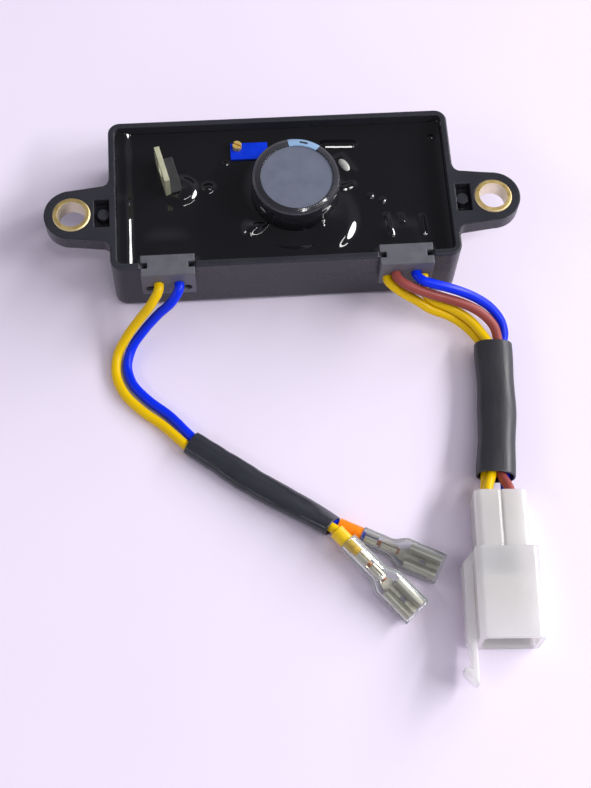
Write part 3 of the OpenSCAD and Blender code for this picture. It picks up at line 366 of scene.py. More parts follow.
NODE_FINISH = {
    case_abs: ["case"],
    bushing_steel: ["left_bushing", "right_bushing"],
    potting_epoxy: ["potting_compound"],
    laminate: ["circuit_board"],
    aluminium: ["capacitor_can"],
    cap_vinyl: ["capacitor_sleeve"],
    disc_board: ["capacitor_end_disc"],
    tinned_lead: ["capacitor_leads", "transistor_leads", "trimmer_pins"],
    package_epoxy: ["transistor_body", "flyback_diode", "control_transistor",
                    *(f"rectifier_diode_{i}" for i in range(1, 5))],
    tab_metal: ["transistor_tab"],
    trimmer_blue: ["trimmer_body"],
    screw_brass: ["trimmer_screw"],
    ceramic_dip: ["ceramic_capacitor"],
    resistor_lacquer: ["bleed_resistor"],
    grommet_rubber: ["left_grommet", "right_grommet"],
    copper: ["left_wire_cores", "right_wire_cores", "low_terminal_core", "high_terminal_core"],
    yellow_cover: ["left_yellow_wire", "right_yellow_wire_1", "right_yellow_wire_2"],
    blue_cover: ["left_blue_wire", "right_blue_wire"],
    brown_cover: ["right_brown_wire"],
    shrunk_sleeve: ["left_sleeve"],
    vinyl_tube: ["right_sleeve"],
    yellow_marker_vinyl: ["yellow_marker"],
    orange_marker_vinyl: ["orange_marker"],
    tinned_brass: ["low_terminal", "high_terminal"],
    boot_vinyl: ["low_boot", "high_boot"],
    nylon: ["connector_housing"],
    contact_brass: [f"contact_{i}" for i in range(1, 5)],
}
for material, names in NODE_FINISH.items():
    for name in names:
        nodes[name].data.materials.clear()
        nodes[name].data.materials.append(material)


def skin(name, points, faces, material, run=None):
    """Smooth mesh object from points in mm and faces, turned outward by the sign of its volume, with
    the run attribute in metres where it is given. It rides on the regulator."""
    points = np.asarray(points, float) * MM
    faces = [list(face) for face in faces]
    first = np.array([face[:3] for face in faces])
    corner = points[first]
    volume = np.einsum("ij,ij->i", corner[:, 0], np.cross(corner[:, 1], corner[:, 2])).sum()
    if volume < 0:
        faces = [face[::-1] for face in faces]
    mesh = bpy.data.meshes.new(name)
    mesh.from_pydata(points.tolist(), [], faces)
    mesh.polygons.foreach_set("use_smooth", np.ones(len(mesh.polygons), bool))
    if run is not None:
        layer = mesh.attributes.new("run", "FLOAT_VECTOR", "POINT")
        layer.data.foreach_set("vector", (np.asarray(run, float) * MM).ravel())
    mesh.materials.append(material)
    mesh.update()
    piece = bpy.data.objects.new(name, mesh)
    scene.collection.objects.link(piece)
    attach(piece, BODY)
    return piece


def ring_faces(count, sides, loop):
    """Four-sided faces between neighbouring rings. With loop the last ring joins the first, and
    without it a flat face closes each end."""
    index = np.arange(count * sides).reshape(count, sides)
    here = index if loop else index[:-1]
    ahead = np.roll(index, -1, axis=0) if loop else index[1:]
    quads = np.stack([here, np.roll(here, -1, 1), np.roll(ahead, -1, 1), ahead], axis=-1)
    faces = quads.reshape(-1, 4).tolist()
    if not loop:
        faces += [index[0, ::-1].tolist(), index[-1].tolist()]
    return faces


def unit(vectors):
    """Vectors at length one."""
    return vectors / np.linalg.norm(vectors, axis=-1, keepdims=True)


def across(ahead):
    """Sideways and upward unit vectors of running directions."""
    side = unit(np.cross(ahead, [0.0, 0.0, 1.0]))
    return side, np.cross(side, ahead)


def course(points, step):
    """Smooth line through route points: cubic spans whose slopes at a point weigh the two chords that
    meet there by the other one's length. Gives points every step mm and their running lengths."""
    p = np.asarray(points, float)
    chord = np.linalg.norm(np.diff(p, axis=0), axis=1)
    slope = np.diff(p, axis=0) / chord[:, None]
    w = chord[:, None]
    inner = (slope[:-1] * w[1:] + slope[1:] * w[:-1]) / (w[1:] + w[:-1])
    tangent = np.vstack([slope[:1], inner, slope[-1:]])
    line = []
    for i, length in enumerate(chord):
        u = np.linspace(0, 1, max(2, int(round(length / step)) + 1))[:-1, None]
        line.append((2 * u**3 - 3 * u**2 + 1) * p[i] + (u**3 - 2 * u**2 + u) * length * tangent[i]
                    + (3 * u**2 - 2 * u**3) * p[i + 1] + (u**3 - u**2) * length * tangent[i + 1])
    line = np.vstack(line + [p[-1:]])
    return line, np.concatenate([[0], np.cumsum(np.linalg.norm(np.diff(line, axis=0), axis=1))])


# Places shared with the part's drawing, in mm. Grommets: middle, outer face, where a wire starts inside
# a hole, the upper and lower holes' places from the middle and their heights, and how far a wire runs
# straight in front of the left and the right one
GROMMET_X = 29.3
GROMMET_OUT_Y = -23.2
HOLE_START = 1.0
UPPER_X, UPPER_Z = 2.5, 15.4
LOWER_X, LOWER_Z = 4.45, 13.4
LEFT_REACH, RIGHT_REACH = 1.2, 0.8
WIRE_D = 2.4
# Terminals: mouth, heading and slope of each axis, and on it, behind the mouth, the back of the boot,
# the radius of the boot's bore there, the back of the marker and the front of the crimp
LOW_MOUTH, LOW_HEADING, LOW_SLOPE = np.array([25.2, -105.9, 2.5]), math.radians(-49), math.radians(-6)
HIGH_MOUTH, HIGH_HEADING, HIGH_SLOPE = np.array([31.8, -95.7, 2.4]), math.radians(-28), 0.0
LOW_BOOT_BACK, HIGH_BOOT_BACK = -23.5, -20.5
LOW_BOOT_REAR, HIGH_BOOT_REAR = 2.05, 1.79
LOW_MARKER_BACK, HIGH_MARKER_BACK = -27.6, -27.1
CRIMP_FRONT = -16.4
# Connector: middle of its back and its turn, how far a wire runs straight before and inside it, height
# of the bundle, and the contacts' places from there
PLUG_AT, PLUG_TURN = np.array([46.7, -79.3, 0.0]), math.radians(-3)
PLUG_BEFORE, PLUG_DEPTH = 1.0, 5.5
BUNDLE_Z, CONTACT_X, CONTACT_Z = 5.4, 2.6, 2.5

# Left sleeve: route, and at each of its points how much wider and higher the bore is and how far the
# section is turned. Right sleeve: route. Then the wires' places beside the middle of each sleeve
LEFT_SLEEVE_ROUTE = [
    [-26, -60, 2.3], [-18.5, -65.7, 2.3], [-11, -71.4, 2.3],
    [-3.5, -76.5, 2.7], [2.5, -80.5, 3], [7, -84, 3.6],
]
LEFT_SLEEVE_WIDER = [0, 0.2, 0.4, 0.5, 0.5, 0.7]
LEFT_SLEEVE_HIGHER = [0, 0, 0, 0.05, 0.1, 0.35]
LEFT_SLEEVE_TWIST = np.radians([0, 4, 8, 19, 28, 50])
RIGHT_SLEEVE_ROUTE = [[50.7, -38.6, 3.9], [49.6, -56, 3.8], [47, -74.2, 4.9]]
LEFT_LANE = 1.25
LOW_LANE = (2.35, -1.0)
HIGH_LANE = (1.25, 1.3)


def lane(route, dx, dz):
    """Route moved dx to the right of travel and dz up, square to the chord through its neighbours."""
    p = np.asarray(route, float)
    far = np.vstack([p[1:], p[-1:]])
    near = np.vstack([p[:1], p[:-1]])
    side, up = across(unit(far - near))
    return (p + side * np.reshape(dx, (-1, 1)) + up * np.reshape(dz, (-1, 1))).tolist()


def turned_lane(offset):
    """Every second point of the left sleeve's route, moved offset sideways in its turned section."""
    dx, dz = offset * np.cos(LEFT_SLEEVE_TWIST), offset * np.sin(LEFT_SLEEVE_TWIST)
    return lane(LEFT_SLEEVE_ROUTE, dx, dz)[:-1:2]


def on_axis(mouth, heading, slope, s):
    """Point on a terminal's axis, s in front of its mouth."""
    level = math.cos(slope)
    return mouth + s * np.array([math.cos(heading) * level, math.sin(heading) * level, math.sin(slope)])


def in_plug(x, y, z):
    """Point in the connector's own frame, turned and moved to its place on the table."""
    c, s = math.cos(PLUG_TURN), math.sin(PLUG_TURN)
    return PLUG_AT + np.array([x * c - y * s, x * s + y * c, z])


def out_of_grommet(x, z, reach):
    """Straight start of a wire, from inside its hole to reach in front of the grommet."""
    return [[x, GROMMET_OUT_Y + HOLE_START, z], [x, GROMMET_OUT_Y - reach, z]]


def into_terminal(mouth, heading, slope, marker_back):
    """Straight end of a wire on a terminal's axis, from the back of its marker into the crimp."""
    return [on_axis(mouth, heading, slope, s) for s in (marker_back, CRIMP_FRONT)]


def into_plug(x, z):
    """Straight end of a wire in the connector, from before its back to its contact."""
    return [in_plug(x, y, z) for y in (PLUG_BEFORE, -PLUG_DEPTH)]


WIRE_ROUTES = {
    "left_yellow_wire": (
        yellow_cover,
        out_of_grommet(-GROMMET_X - UPPER_X, UPPER_Z, LEFT_REACH)
        + [[-33.6, -27, 13.4], [-37, -29.2, 9.2], [-40.6, -32, 5.2], [-43.2, -35.6, 2.2],
           [-43.7, -40.4, 1.3], [-42, -45.4, 1.3], [-38, -50.2, 1.3], [-32.6, -54.8, 1.4]]
        + turned_lane(LEFT_LANE)
        + into_terminal(LOW_MOUTH, LOW_HEADING, LOW_SLOPE, LOW_MARKER_BACK)),
    "left_blue_wire": (
        blue_cover,
        out_of_grommet(-GROMMET_X + UPPER_X, UPPER_Z, LEFT_REACH)
        + [[-28.6, -26.8, 13.4], [-32.4, -28.4, 9.6], [-36.4, -30.8, 5.6], [-39.6, -34, 2.6],
           [-40.9, -38.4, 1.3], [-39.8, -43, 1.3], [-36.2, -47.6, 1.3], [-31, -52.2, 1.4]]
        + turned_lane(-LEFT_LANE)
        + into_terminal(HIGH_MOUTH, HIGH_HEADING, HIGH_SLOPE, HIGH_MARKER_BACK)),
    "right_yellow_wire_1": (
        yellow_cover,
        out_of_grommet(GROMMET_X - LOWER_X, LOWER_Z, RIGHT_REACH)
        + [[26.2, -25.6, 13], [28.6, -26.9, 11.6], [31.8, -28.1, 9.8], [35.7, -29.8, 7.6],
           [40, -30.9, 6], [43.6, -32.6, 4.3], [46.5, -35.4, 3.3]]
        + lane(RIGHT_SLEEVE_ROUTE, LOW_LANE[0], LOW_LANE[1])
        + into_plug(-CONTACT_X, BUNDLE_Z - CONTACT_Z)),
    "right_yellow_wire_2": (
        yellow_cover,
        out_of_grommet(GROMMET_X + LOWER_X, LOWER_Z, RIGHT_REACH)
        + [[33.7, -25.5, 12.4], [34.3, -27, 10.7], [36.4, -28.3, 9.4], [39.6, -29.5, 8.4],
           [42.7, -30.9, 7.3], [45.7, -33, 6.2], [48, -36, 5.4]]
        + lane(RIGHT_SLEEVE_ROUTE, HIGH_LANE[0], HIGH_LANE[1])
        + into_plug(-CONTACT_X, BUNDLE_Z + CONTACT_Z)),
    "right_brown_wire": (
        brown_cover,
        out_of_grommet(GROMMET_X - UPPER_X, UPPER_Z, RIGHT_REACH)
        + [[27.8, -25.4, 15.3], [30.3, -26.9, 14.7], [34.2, -28, 13.3], [39, -28.8, 11.5],
           [43.9, -29.9, 9.8], [48, -31.7, 8.1], [51.1, -34.8, 6.4]]
        + lane(RIGHT_SLEEVE_ROUTE, -HIGH_LANE[0], HIGH_LANE[1])
        + into_plug(CONTACT_X, BUNDLE_Z + CONTACT_Z)),
    "right_blue_wire": (
        blue_cover,
        out_of_grommet(GROMMET_X + UPPER_X, UPPER_Z, RIGHT_REACH)
        + [[32.8, -25.4, 15.6], [35.4, -26.4, 15.2], [39.1, -27, 14], [43.3, -27.6, 12],
           [47.6, -28.6, 9.5], [51.2, -30.4, 7], [53.4, -33, 4.9], [53.9, -35.8, 3.5]]
        + lane(RIGHT_SLEEVE_ROUTE, -LOW_LANE[0], LOW_LANE[1])
        + into_plug(CONTACT_X, BUNDLE_Z - CONTACT_Z)),
}
WIRE_SIDES = 24
WIRE_STEP = 0.7


def round_wire(name, route, material):
    """Circle of the wire's diameter carried along its course, square to it at every step."""
    line, length = course(route, WIRE_STEP)
    side, up = across(unit(np.gradient(line, axis=0)))
    turn = np.linspace(0, 2 * np.pi, WIRE_SIDES, endpoint=False)
    c, s = np.cos(turn) * WIRE_D / 2, np.sin(turn) * WIRE_D / 2
    rings = line[:, None] + side[:, None] * c[None, :, None] + up[:, None] * s[None, :, None]
    run = np.stack(np.broadcast_arrays(length[:, None], c[None], s[None]), axis=-1)
    piece = skin(name + "_cover", rings.reshape(-1, 3), ring_faces(len(line), WIRE_SIDES, False),
                 material, run.reshape(-1, 3))
    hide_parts(name)
    return piece, line, length[-1]


# Tubes: step along them, points of a rounded lip with its two ends, and how far the lip's root stands
# back from the end of the line
TUBE_STEP, LIP_POINTS, TUBE_INSET = 0.45, 7, 0.3


def flat_tube(name, node, line, length, sizes, wall, sides, material):
    """Flattened tube with a wall: a closed profile (outside, rounded lip, inside, rounded lip) is laid
    along the line between its insets. At each place the section is a superellipse with the bore's
    half width and half height plus the profile's offset, its power sets how boxy it is, and it is
    turned about the line."""
    s0, s1 = TUBE_INSET, length[-1] - TUBE_INSET
    steps = np.arange(s0, s1, TUBE_STEP)
    bend = np.linspace(0, np.pi, LIP_POINTS)[1:-1]
    lip = wall / 2 * np.sin(bend)
    along = np.concatenate([steps, s1 + lip, steps[::-1], s0 - lip])
    offset = np.concatenate([np.full(len(steps), wall), wall / 2 * (1 + np.cos(bend)),
                             np.zeros(len(steps)), wall / 2 * (1 - np.cos(bend))])
    place = np.stack([np.interp(along, length, line[:, k]) for k in range(3)], axis=-1)
    ahead = np.gradient(line, axis=0)
    ahead = unit(np.stack([np.interp(along, length, ahead[:, k]) for k in range(3)], axis=-1))
    before, after = np.minimum(along - length[0], 0), np.maximum(along - length[-1], 0)
    place += ahead * (before + after)[:, None]
    side, up = across(ahead)
    half_w, half_h, boxy, twist = sizes(along)
    turn = np.linspace(0, 2 * np.pi, sides, endpoint=False)
    c, s = np.cos(turn)[None], np.sin(turn)[None]
    shape = (2 / boxy)[:, None]
    x = np.sign(c) * np.abs(c) ** shape * (half_w + offset)[:, None]
    z = np.sign(s) * np.abs(s) ** shape * (half_h + offset)[:, None]
    c, s = np.cos(twist)[:, None], np.sin(twist)[:, None]
    flat, tall = x * c - z * s, x * s + z * c
    rings = place[:, None] + side[:, None] * flat[..., None] + up[:, None] * tall[..., None]
    run = np.stack(np.broadcast_arrays(along[:, None], x, z), axis=-1)
    piece = skin(name, rings.reshape(-1, 3), ring_faces(len(along), sides, True), material,
                 run.reshape(-1, 3))
    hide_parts(node)
    return piece


def eased(s, places, values):
    """Values at places joined by half cosine waves."""
    places, values = np.asarray(places, float), np.asarray(values, float)
    i = np.clip(np.searchsorted(places, s, side="right") - 1, 0, len(places) - 2)
    u = np.clip((s - places[i]) / (places[i + 1] - places[i]), 0, 1)
    return values[i] + (values[i + 1] - values[i]) * (1 - np.cos(np.pi * u)) / 2


# Sleeves: step of their lines, wall, and for each the half width and half height of its bore, the power
# of its section and its sides. The left one's dimples and the right one's pinch are waves of so many mm
# with so many radians to the mm, and the half height changes by a share of them the other way
SLEEVE_STEP, SLEEVE_WALL = 0.5, 0.5
LEFT_HALF_W, LEFT_HALF_H, LEFT_POWER, LEFT_SIDES = 2.57, 1.45, 2.35, 40
DIMPLE, DIMPLE_FAST, DIMPLE_SLOW, DIMPLE_SHARE = 0.08, 0.9, 0.37, 0.6
RIGHT_HALF_W, RIGHT_HALF_H, RIGHT_POWER, RIGHT_SIDES = 4.2, 3.15, 2.25, 44
PINCH, PINCH_RATE, PINCH_SHARE = 0.12, 0.4, 0.5


def left_sleeve():
    """Shrunk sleeve: tight on the two wires at its start and wider and turned toward its end, with
    shallow dimples that are the product of two waves along it."""
    line, length = course(LEFT_SLEEVE_ROUTE, SLEEVE_STEP)
    knots = np.linspace(0, length[-1], len(LEFT_SLEEVE_ROUTE))

    def sizes(s):
        wider = eased(s, knots, LEFT_SLEEVE_WIDER)
        higher = eased(s, knots, LEFT_SLEEVE_HIGHER)
        dimple = DIMPLE * np.sin(s * DIMPLE_FAST) * np.sin(s * DIMPLE_SLOW + 1)
        half_w = LEFT_HALF_W + wider + dimple
        half_h = LEFT_HALF_H + higher - dimple * DIMPLE_SHARE
        twist = np.interp(s, knots, LEFT_SLEEVE_TWIST)
        return half_w, half_h, np.full_like(s, LEFT_POWER), twist

    piece = flat_tube("left_sleeve_skin", "left_sleeve", line, length, sizes, SLEEVE_WALL, LEFT_SIDES,
                      shrunk_sleeve)
    return piece


def right_sleeve():
    """Loose tube over the four wires: an oval that a wave along it makes a little wider and flatter,
    then narrower and higher."""
    line, length = course(RIGHT_SLEEVE_ROUTE, SLEEVE_STEP)

    def sizes(s):
        pinch = PINCH * np.sin(s * PINCH_RATE + 0.5)
        half_w, half_h = RIGHT_HALF_W + pinch, RIGHT_HALF_H - pinch * PINCH_SHARE
        return half_w, half_h, np.full_like(s, RIGHT_POWER), np.zeros_like(s)

    piece = flat_tube("right_sleeve_skin", "right_sleeve", line, length, sizes, SLEEVE_WALL,
                      RIGHT_SIDES, vinyl_tube)
    return piece


# Boots: points of the axis, step of its line, wall and sides. Along the axis, the end of the tail, the
# start and the end of the even flat part and the mouth, with the bore's half width and half height from
# the flat part on and the section's power from the back on
BOOT_POINTS, BOOT_STEP, BOOT_WALL, BOOT_SIDES = 60, 0.4, 0.45, 48
BOOT_PLACES = [-13.6, -9.6, -6, 0]
BOOT_HALF_W = [3.44, 3.44, 3.48]
BOOT_HALF_H = [1.51, 1.51, 1.55]
BOOT_POWER = [2, 2.1, 2.9, 3, 2.9]


def clear_boot(name, mouth, heading, slope, back, rear):
    """Clear boot on the terminal's axis: a round tail of that bore over the wire and crimps, then flat
    and wide over the rolled edges, with a lip that flares at the mouth."""
    points = [on_axis(mouth, heading, slope, s) for s in np.linspace(back, 0, BOOT_POINTS)]
    line, length = course(points, BOOT_STEP)
    places = [back] + BOOT_PLACES

    def sizes(s):
        half_w = eased(s + back, places, [rear, rear] + BOOT_HALF_W)
        half_h = eased(s + back, places, [rear, rear] + BOOT_HALF_H)
        return half_w, half_h, eased(s + back, places, BOOT_POWER), np.zeros_like(s)

    piece = flat_tube(name + "_wall", name, line, length, sizes, BOOT_WALL, BOOT_SIDES, boot_vinyl)
    return piece


low_boot = clear_boot("low_boot", LOW_MOUTH, LOW_HEADING, LOW_SLOPE, LOW_BOOT_BACK, LOW_BOOT_REAR)
left_sleeve_piece = left_sleeve()
high_boot = clear_boot("high_boot", HIGH_MOUTH, HIGH_HEADING, HIGH_SLOPE, HIGH_BOOT_BACK,
                       HIGH_BOOT_REAR)
carried = {
    "left_yellow_wire": [low_boot, left_sleeve_piece],
    "left_blue_wire": [high_boot],
    "right_yellow_wire_1": [right_sleeve()],
}
for name, (cover, route) in WIRE_ROUTES.items():
    piece, line, length = round_wire(name, route, cover)


# Capacitor sleeve, in mm: foot, crown, bore over the can, underside of its lip, radius and shift of the
# lip's hole, and how far the hole's edge is cut outward and down. The brow runs in equal steps down
# slopes, the first of which only gives its start
CAP_FOOT, CAP_CROWN, CAN_R, LIP_LOW = 14.0, 25.6, 10.6, 25.12
LIP_R, LIP_SHIFT = 8.93, np.array([0.25, -0.5])
LIP_CUT_OUT, LIP_CUT_DOWN = 0.07, 0.1
BROW_SLOPES = np.radians([20, 20.1, 20.2, 20.3, 20.4, 20.6, 40, 58, 72, 82, 90])
BROW_STEP = 0.33
CAP_SIDES = 128


def capacitor_sleeve():
    """Turned profile: the lip's edge, a broad brow that leans ever steeper until it meets the straight
    wall, and the bore over the can. The circles drift from the axis to the lip's off-centre hole."""
    steps = np.full(len(BROW_SLOPES), BROW_STEP)
    steps[0] = 0
    out = np.cumsum(steps * np.cos(BROW_SLOPES))
    down = np.cumsum(steps * np.sin(BROW_SLOPES))
    share = out / out[-1]
    brow = LIP_R + LIP_CUT_OUT + (CAP_R - LIP_R - LIP_CUT_OUT) * share
    radius = np.concatenate([[CAN_R, LIP_R, LIP_R], brow, [CAP_R, CAN_R]])
    height = np.concatenate([[LIP_LOW, LIP_LOW, CAP_CROWN - LIP_CUT_DOWN], CAP_CROWN - down,
                             [CAP_FOOT, CAP_FOOT]])
    drift = np.concatenate([[0, 1, 1], 1 - share, [0, 0]])
    turn = np.linspace(0, 2 * np.pi, CAP_SIDES, endpoint=False)
    rings = np.stack(np.broadcast_arrays(
        CAP_X + LIP_SHIFT[0] * drift[:, None] + radius[:, None] * np.cos(turn),
        CAP_Y + LIP_SHIFT[1] * drift[:, None] + radius[:, None] * np.sin(turn),
        height[:, None]), axis=-1)
    faces = ring_faces(len(radius), CAP_SIDES, True)
    piece = skin("capacitor_sleeve_skin", rings.reshape(-1, 3), faces, cap_vinyl)
    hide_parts("capacitor_sleeve")


capacitor_sleeve()

# Compound, in mm: inside of the box with its corner radius, level of the flat part, highest place and
# bottom of the visible piece
INNER_L, INNER_W, INNER_R = 83.2, 39.0, 1.4
LEVEL, HIGHEST, UNDERSIDE = 16.0, 19.2, 12.0
GRID_STEP = 0.2
# Shoulder along the left wall: height, its fall to the back for each mm, flat part and width of its
# slope, and the depth, the middle and the half length of the stretch where it sinks, with the power of
# its bell, which makes its floor flat
SHOULDER, SHOULDER_FALL, SHOULDER_FLAT, SHOULDER_SLOPE = 1.2, 0.006, 2.0, 2.6
SINK, SINK_Y, SINK_HALF, SINK_POWER = 0.35, 6.3, 5.6, 6
# Climbs at what the compound wets: height and width
LEFT_CLIMB, RIGHT_CLIMB, BACK_CLIMB, FRONT_CLIMB = (0.5, 2.0), (1.2, 4.4), (1.0, 4.4), (0.5, 2.2)
CAP_CLIMB, DISC_CLIMB, GROMMET_CLIMB = (1.0, 4.2), (0.45, 2.2), (0.5, 2.2)
# Ceramic disc's foot and the grommets' feet: middle, size and turn
DISC_AT, DISC_SIZE, DISC_TURN = (16.3, 8.0), (5.6, 2.2), math.radians(-59.5)
GROMMET_FOOT_Y, GROMMET_FOOT = -18.5, (13.2, 2.0)
# Pit that the trimmer's body fills: middle, size and floor, which is lower than the foot of its screw
PIT_AT, PIT_SIZE, PIT_FLOOR = (-7.575, 13.46), (9.05, 4.52), 13.6
# Lobes at the front right and the front left of the capacitor and by the power transistor: middle,
# direction in degrees, how narrow they are, height, flat part and width of the slope
COMPOUND_LOBES = [
    ((5.9, -6.3), -28, 7, 1.64, 10.0, 4.0),
    ((-4.05, -8.55), -167, 20, 1.24, 4.8, 2.6),
    ((-25.4, 2.7), -35, 0.5, 1.31, 2.4, 2.8),
]


def box_distance(x, y, at, size, turn=0.0):
    """Distance outside a turned rectangle, nought inside it."""
    c, s = math.cos(turn), math.sin(turn)
    u = np.abs((x - at[0]) * c + (y - at[1]) * s) - size[0] / 2
    v = np.abs((y - at[1]) * c - (x - at[0]) * s) - size[1] / 2
    return np.hypot(np.maximum(u, 0), np.maximum(v, 0))


def ridge(x, y, start, end, height, width):
    """Bell-shaped ridge along a straight line, rounded at both ends."""
    a, b = np.asarray(start, float), np.asarray(end, float)
    t = np.clip(((x - a[0]) * (b - a)[0] + (y - a[1]) * (b - a)[1]) / ((b - a) @ (b - a)), 0, 1)
    d = np.hypot(x - a[0] - t * (b - a)[0], y - a[1] - t * (b - a)[1])
    return height * np.exp(-((d / width) ** 2))


# Ridges and bumps of the compound: start, end, height and half width
COMPOUND_RIDGES = [
    ((-31.8, -17), (-31.8, -12.6), 0.75, 3.6), ((-26.8, -17), (-26.8, -12.6), 0.75, 3.6),
    ((26.8, -17), (26.6, -12), 0.7, 3.2), ((31.8, -17), (31.4, -12), 0.7, 3.2),
    ((25.7, -7.2), (26.6, -13.0), 0.55, 0.72), ((29.3, -7.4), (29.6, -9.2), 0.48, 0.65),
    ((34.6, -8.0), (34.8, -12.6), 0.5, 0.68),
    ((11.8, 14.4), (18.8, 14.1), 0.69, 1.1), ((15.6, 1.2), (17.8, 2.2), 0.61, 1.05),
    ((22.3, -1.3), (22.4, -1.3), 0.52, 0.68), ((25.1, -2.7), (25.3, -2.8), 0.52, 0.68),
    ((-13.7, 10.1), (-13.6, 10.1), 0.5, 0.65), ((39.2, 15.2), (39.3, 15.2), 0.5, 0.65),
    ((-18.6, 2.9), (-18.3, 2.9), 1.05, 1.4),
]


def climb(d, height, width):
    """Rise of a liquid skin at distance d from what it wets: steep at the foot, fading over width."""
    return height * np.clip(1 - d / width, 0, 1) ** 2


def bulge(d, height, start, width):
    """Rounded shoulder: full height as far as start, then an S-shaped fall over width."""
    u = np.clip((d - start) / width, 0, 1)
    return height * (1 - u * u * (3 - 2 * u))


def toward(x, y, at, degrees, power):
    """One in that direction seen from a point, falling to nought at its back."""
    around = np.arctan2(y - at[1], x - at[0]) - math.radians(degrees)
    return (0.5 + 0.5 * np.cos(around)) ** power


def lobe(x, y, at, degrees, power, height, start, width):
    """Shoulder round a point that stands full height in one direction and fades to its back."""
    stands = height * toward(x, y, at, degrees, power)
    return bulge(np.hypot(x - at[0], y - at[1]), stands, start, width)


def compound_height(x, y):
    """Level skin plus a shoulder along the left wall that sinks for a stretch, low climbs at the walls,
    the capacitor, the ceramic disc and the grommets, lobes at the front right and the front left of
    the capacitor and by the power transistor, ridges and bumps over wires and leads, and a pit that
    the trimmer fills."""
    full = SHOULDER - SHOULDER_FALL * y - SINK * np.exp(-((y - SINK_Y) / SINK_HALF) ** SINK_POWER)
    z = LEVEL + bulge(INNER_L / 2 + x, full, SHOULDER_FLAT, SHOULDER_SLOPE)
    z += climb(INNER_L / 2 + x, *LEFT_CLIMB) + climb(INNER_L / 2 - x, *RIGHT_CLIMB)
    z += climb(INNER_W / 2 - y, *BACK_CLIMB) + climb(INNER_W / 2 + y, *FRONT_CLIMB)
    z += climb(np.maximum(np.hypot(x - CAP_X, y - CAP_Y) - CAP_R, 0), *CAP_CLIMB)
    z += climb(box_distance(x, y, DISC_AT, DISC_SIZE, DISC_TURN), *DISC_CLIMB)
    for side in (-1, 1):
        foot = box_distance(x, y, (side * GROMMET_X, GROMMET_FOOT_Y), GROMMET_FOOT)
        z += climb(foot, *GROMMET_CLIMB)
    for row in COMPOUND_LOBES:
        z += lobe(x, y, *row)
    for row in COMPOUND_RIDGES:
        z += ridge(x, y, *row)
    return np.where(box_distance(x, y, PIT_AT, PIT_SIZE) > 0, np.minimum(z, HIGHEST), PIT_FLOOR)


def compound():
    """Height field over a grid that fills the box, its corners drawn in to the inner corner radius,
    with straight sides down to a flat underside."""
    u = np.linspace(-INNER_L / 2, INNER_L / 2, int(INNER_L / GRID_STEP) + 1)
    v = np.linspace(-INNER_W / 2, INNER_W / 2, int(INNER_W / GRID_STEP) + 1)
    x, y = np.meshgrid(u, v, indexing="ij")
    over_x = np.abs(x) - (INNER_L / 2 - INNER_R)
    over_y = np.abs(y) - (INNER_W / 2 - INNER_R)
    out = np.hypot(np.maximum(over_x, 0), np.maximum(over_y, 0))
    pull = np.where((over_x > 0) & (over_y > 0) & (out > INNER_R), INNER_R / np.maximum(out, 1e-6), 1.0)
    x = np.sign(x) * np.where(over_x > 0, INNER_L / 2 - INNER_R + over_x * pull, np.abs(x))
    y = np.sign(y) * np.where(over_y > 0, INNER_W / 2 - INNER_R + over_y * pull, np.abs(y))
    top = np.stack([x, y, compound_height(x, y)], axis=-1)
    m, n = x.shape
    index = np.arange(m * n).reshape(m, n)
    quads = np.stack([index[:-1, :-1], index[1:, :-1], index[1:, 1:], index[:-1, 1:]], axis=-1)
    rim = np.concatenate([index[:-1, 0], index[-1, :-1], index[:0:-1, -1], index[0, :0:-1]])
    low = top.reshape(-1, 3)[rim].copy()
    low[:, 2] = UNDERSIDE
    below = m * n + np.arange(len(rim))
    sides = np.stack([rim, below, np.roll(below, -1), np.roll(rim, -1)], axis=-1)
    faces = quads.reshape(-1, 4).tolist() + sides.tolist() + [below[::-1].tolist()]
    piece = skin("compound_skin", np.vstack([top.reshape(-1, 3), low]), faces, potting_epoxy)
    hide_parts("potting_compound")


compound()

# Matt card of the table: pale lilac, dry
table_card = finish("pale_lilac_card", ("#eee3f6", "#f2e8f9"), (0.7, 0.8), blotch=60, grain=2,
                    relief=0.02)[0]
TABLE_HALF = 3.0

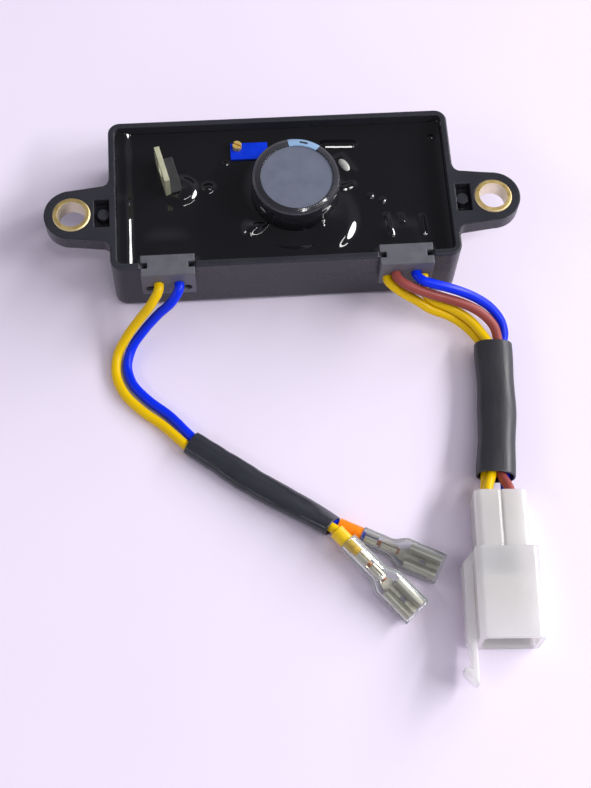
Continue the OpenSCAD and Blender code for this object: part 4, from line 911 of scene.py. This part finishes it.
# Lamps: start and end of each one's length and its width, in metres, and its power in watts
LAMPS = {
    "right_window": ((0.99, -0.63, 0.99), (1.095, 0.96, 0.36), 0.12, 20.8),
    "left_window": ((-0.975, -0.675, 0.945), (-1.2, 0.30, 0.675), 0.04, 2.2),
    "front_window": ((0.886, -0.123, 0.978), (0.188, -0.561, 1.186), 0.05, 2.9),
    "front_lamp": ((0.04, -0.36, 0.95), (0.15, -0.36, 0.95), 0.06, 0.5),
}

# Room: tones from the level to overhead, each at its share of the upward direction
ROOM_TONES = [(0.04, "#dddbe7"), (0.25, "#a6a5af"), (0.58, "#9b9aa5"), (0.80, "#6f6f77")]


def studio():
    """Pale matt table, a long strip of light on the right, thin ones on the left and in front and a
    small front lamp, each from start to end and facing the middle of the picture, and a room that is
    bright at the level and dimmer above it."""
    h = TABLE_HALF
    mesh = bpy.data.meshes.new("table")
    mesh.from_pydata([(-h, -h, 0), (h, -h, 0), (h, h, 0), (-h, h, 0)], [], [(0, 1, 2, 3)])
    mesh.materials.append(table_card)
    table = bpy.data.objects.new("table", mesh)
    scene.collection.objects.link(table)
    for name, (start, end, width, power) in LAMPS.items():
        start, end = np.array(start), np.array(end)
        data = bpy.data.lights.new(name, "AREA")
        data.shape = "RECTANGLE"
        data.size = np.linalg.norm(end - start)
        data.size_y = width
        data.energy = power
        lamp = bpy.data.objects.new(name, data)
        scene.collection.objects.link(lamp)
        middle = (start + end) / 2
        back = unit(middle - CAMERA_AIM)
        side = unit((end - start) - back * ((end - start) @ back))
        stand = np.eye(4)
        stand[:3, :4] = np.column_stack([side, np.cross(back, side), back, middle])
        lamp.matrix_world = Matrix(stand.tolist())
    world = bpy.data.worlds.new("room")
    world.use_nodes = True
    scene.world = world
    tree = world.node_tree
    way = add(tree, "ShaderNodeTexCoord")
    part = add(tree, "ShaderNodeSeparateXYZ", {0: way.outputs["Generated"]})
    tone = add(tree, "ShaderNodeValToRGB", {0: part.outputs["Z"]})
    stops = tone.color_ramp.elements
    level, *between, overhead = ROOM_TONES
    for stop, (place, code) in zip(stops, (level, overhead)):
        stop.position, stop.color = place, linear(code)
    for place, code in between:
        stops.new(place).color = linear(code)
    tree.links.new(tone.outputs[0], tree.nodes["Background"].inputs["Color"])
    scene.view_settings.view_transform = "Standard"


studio()
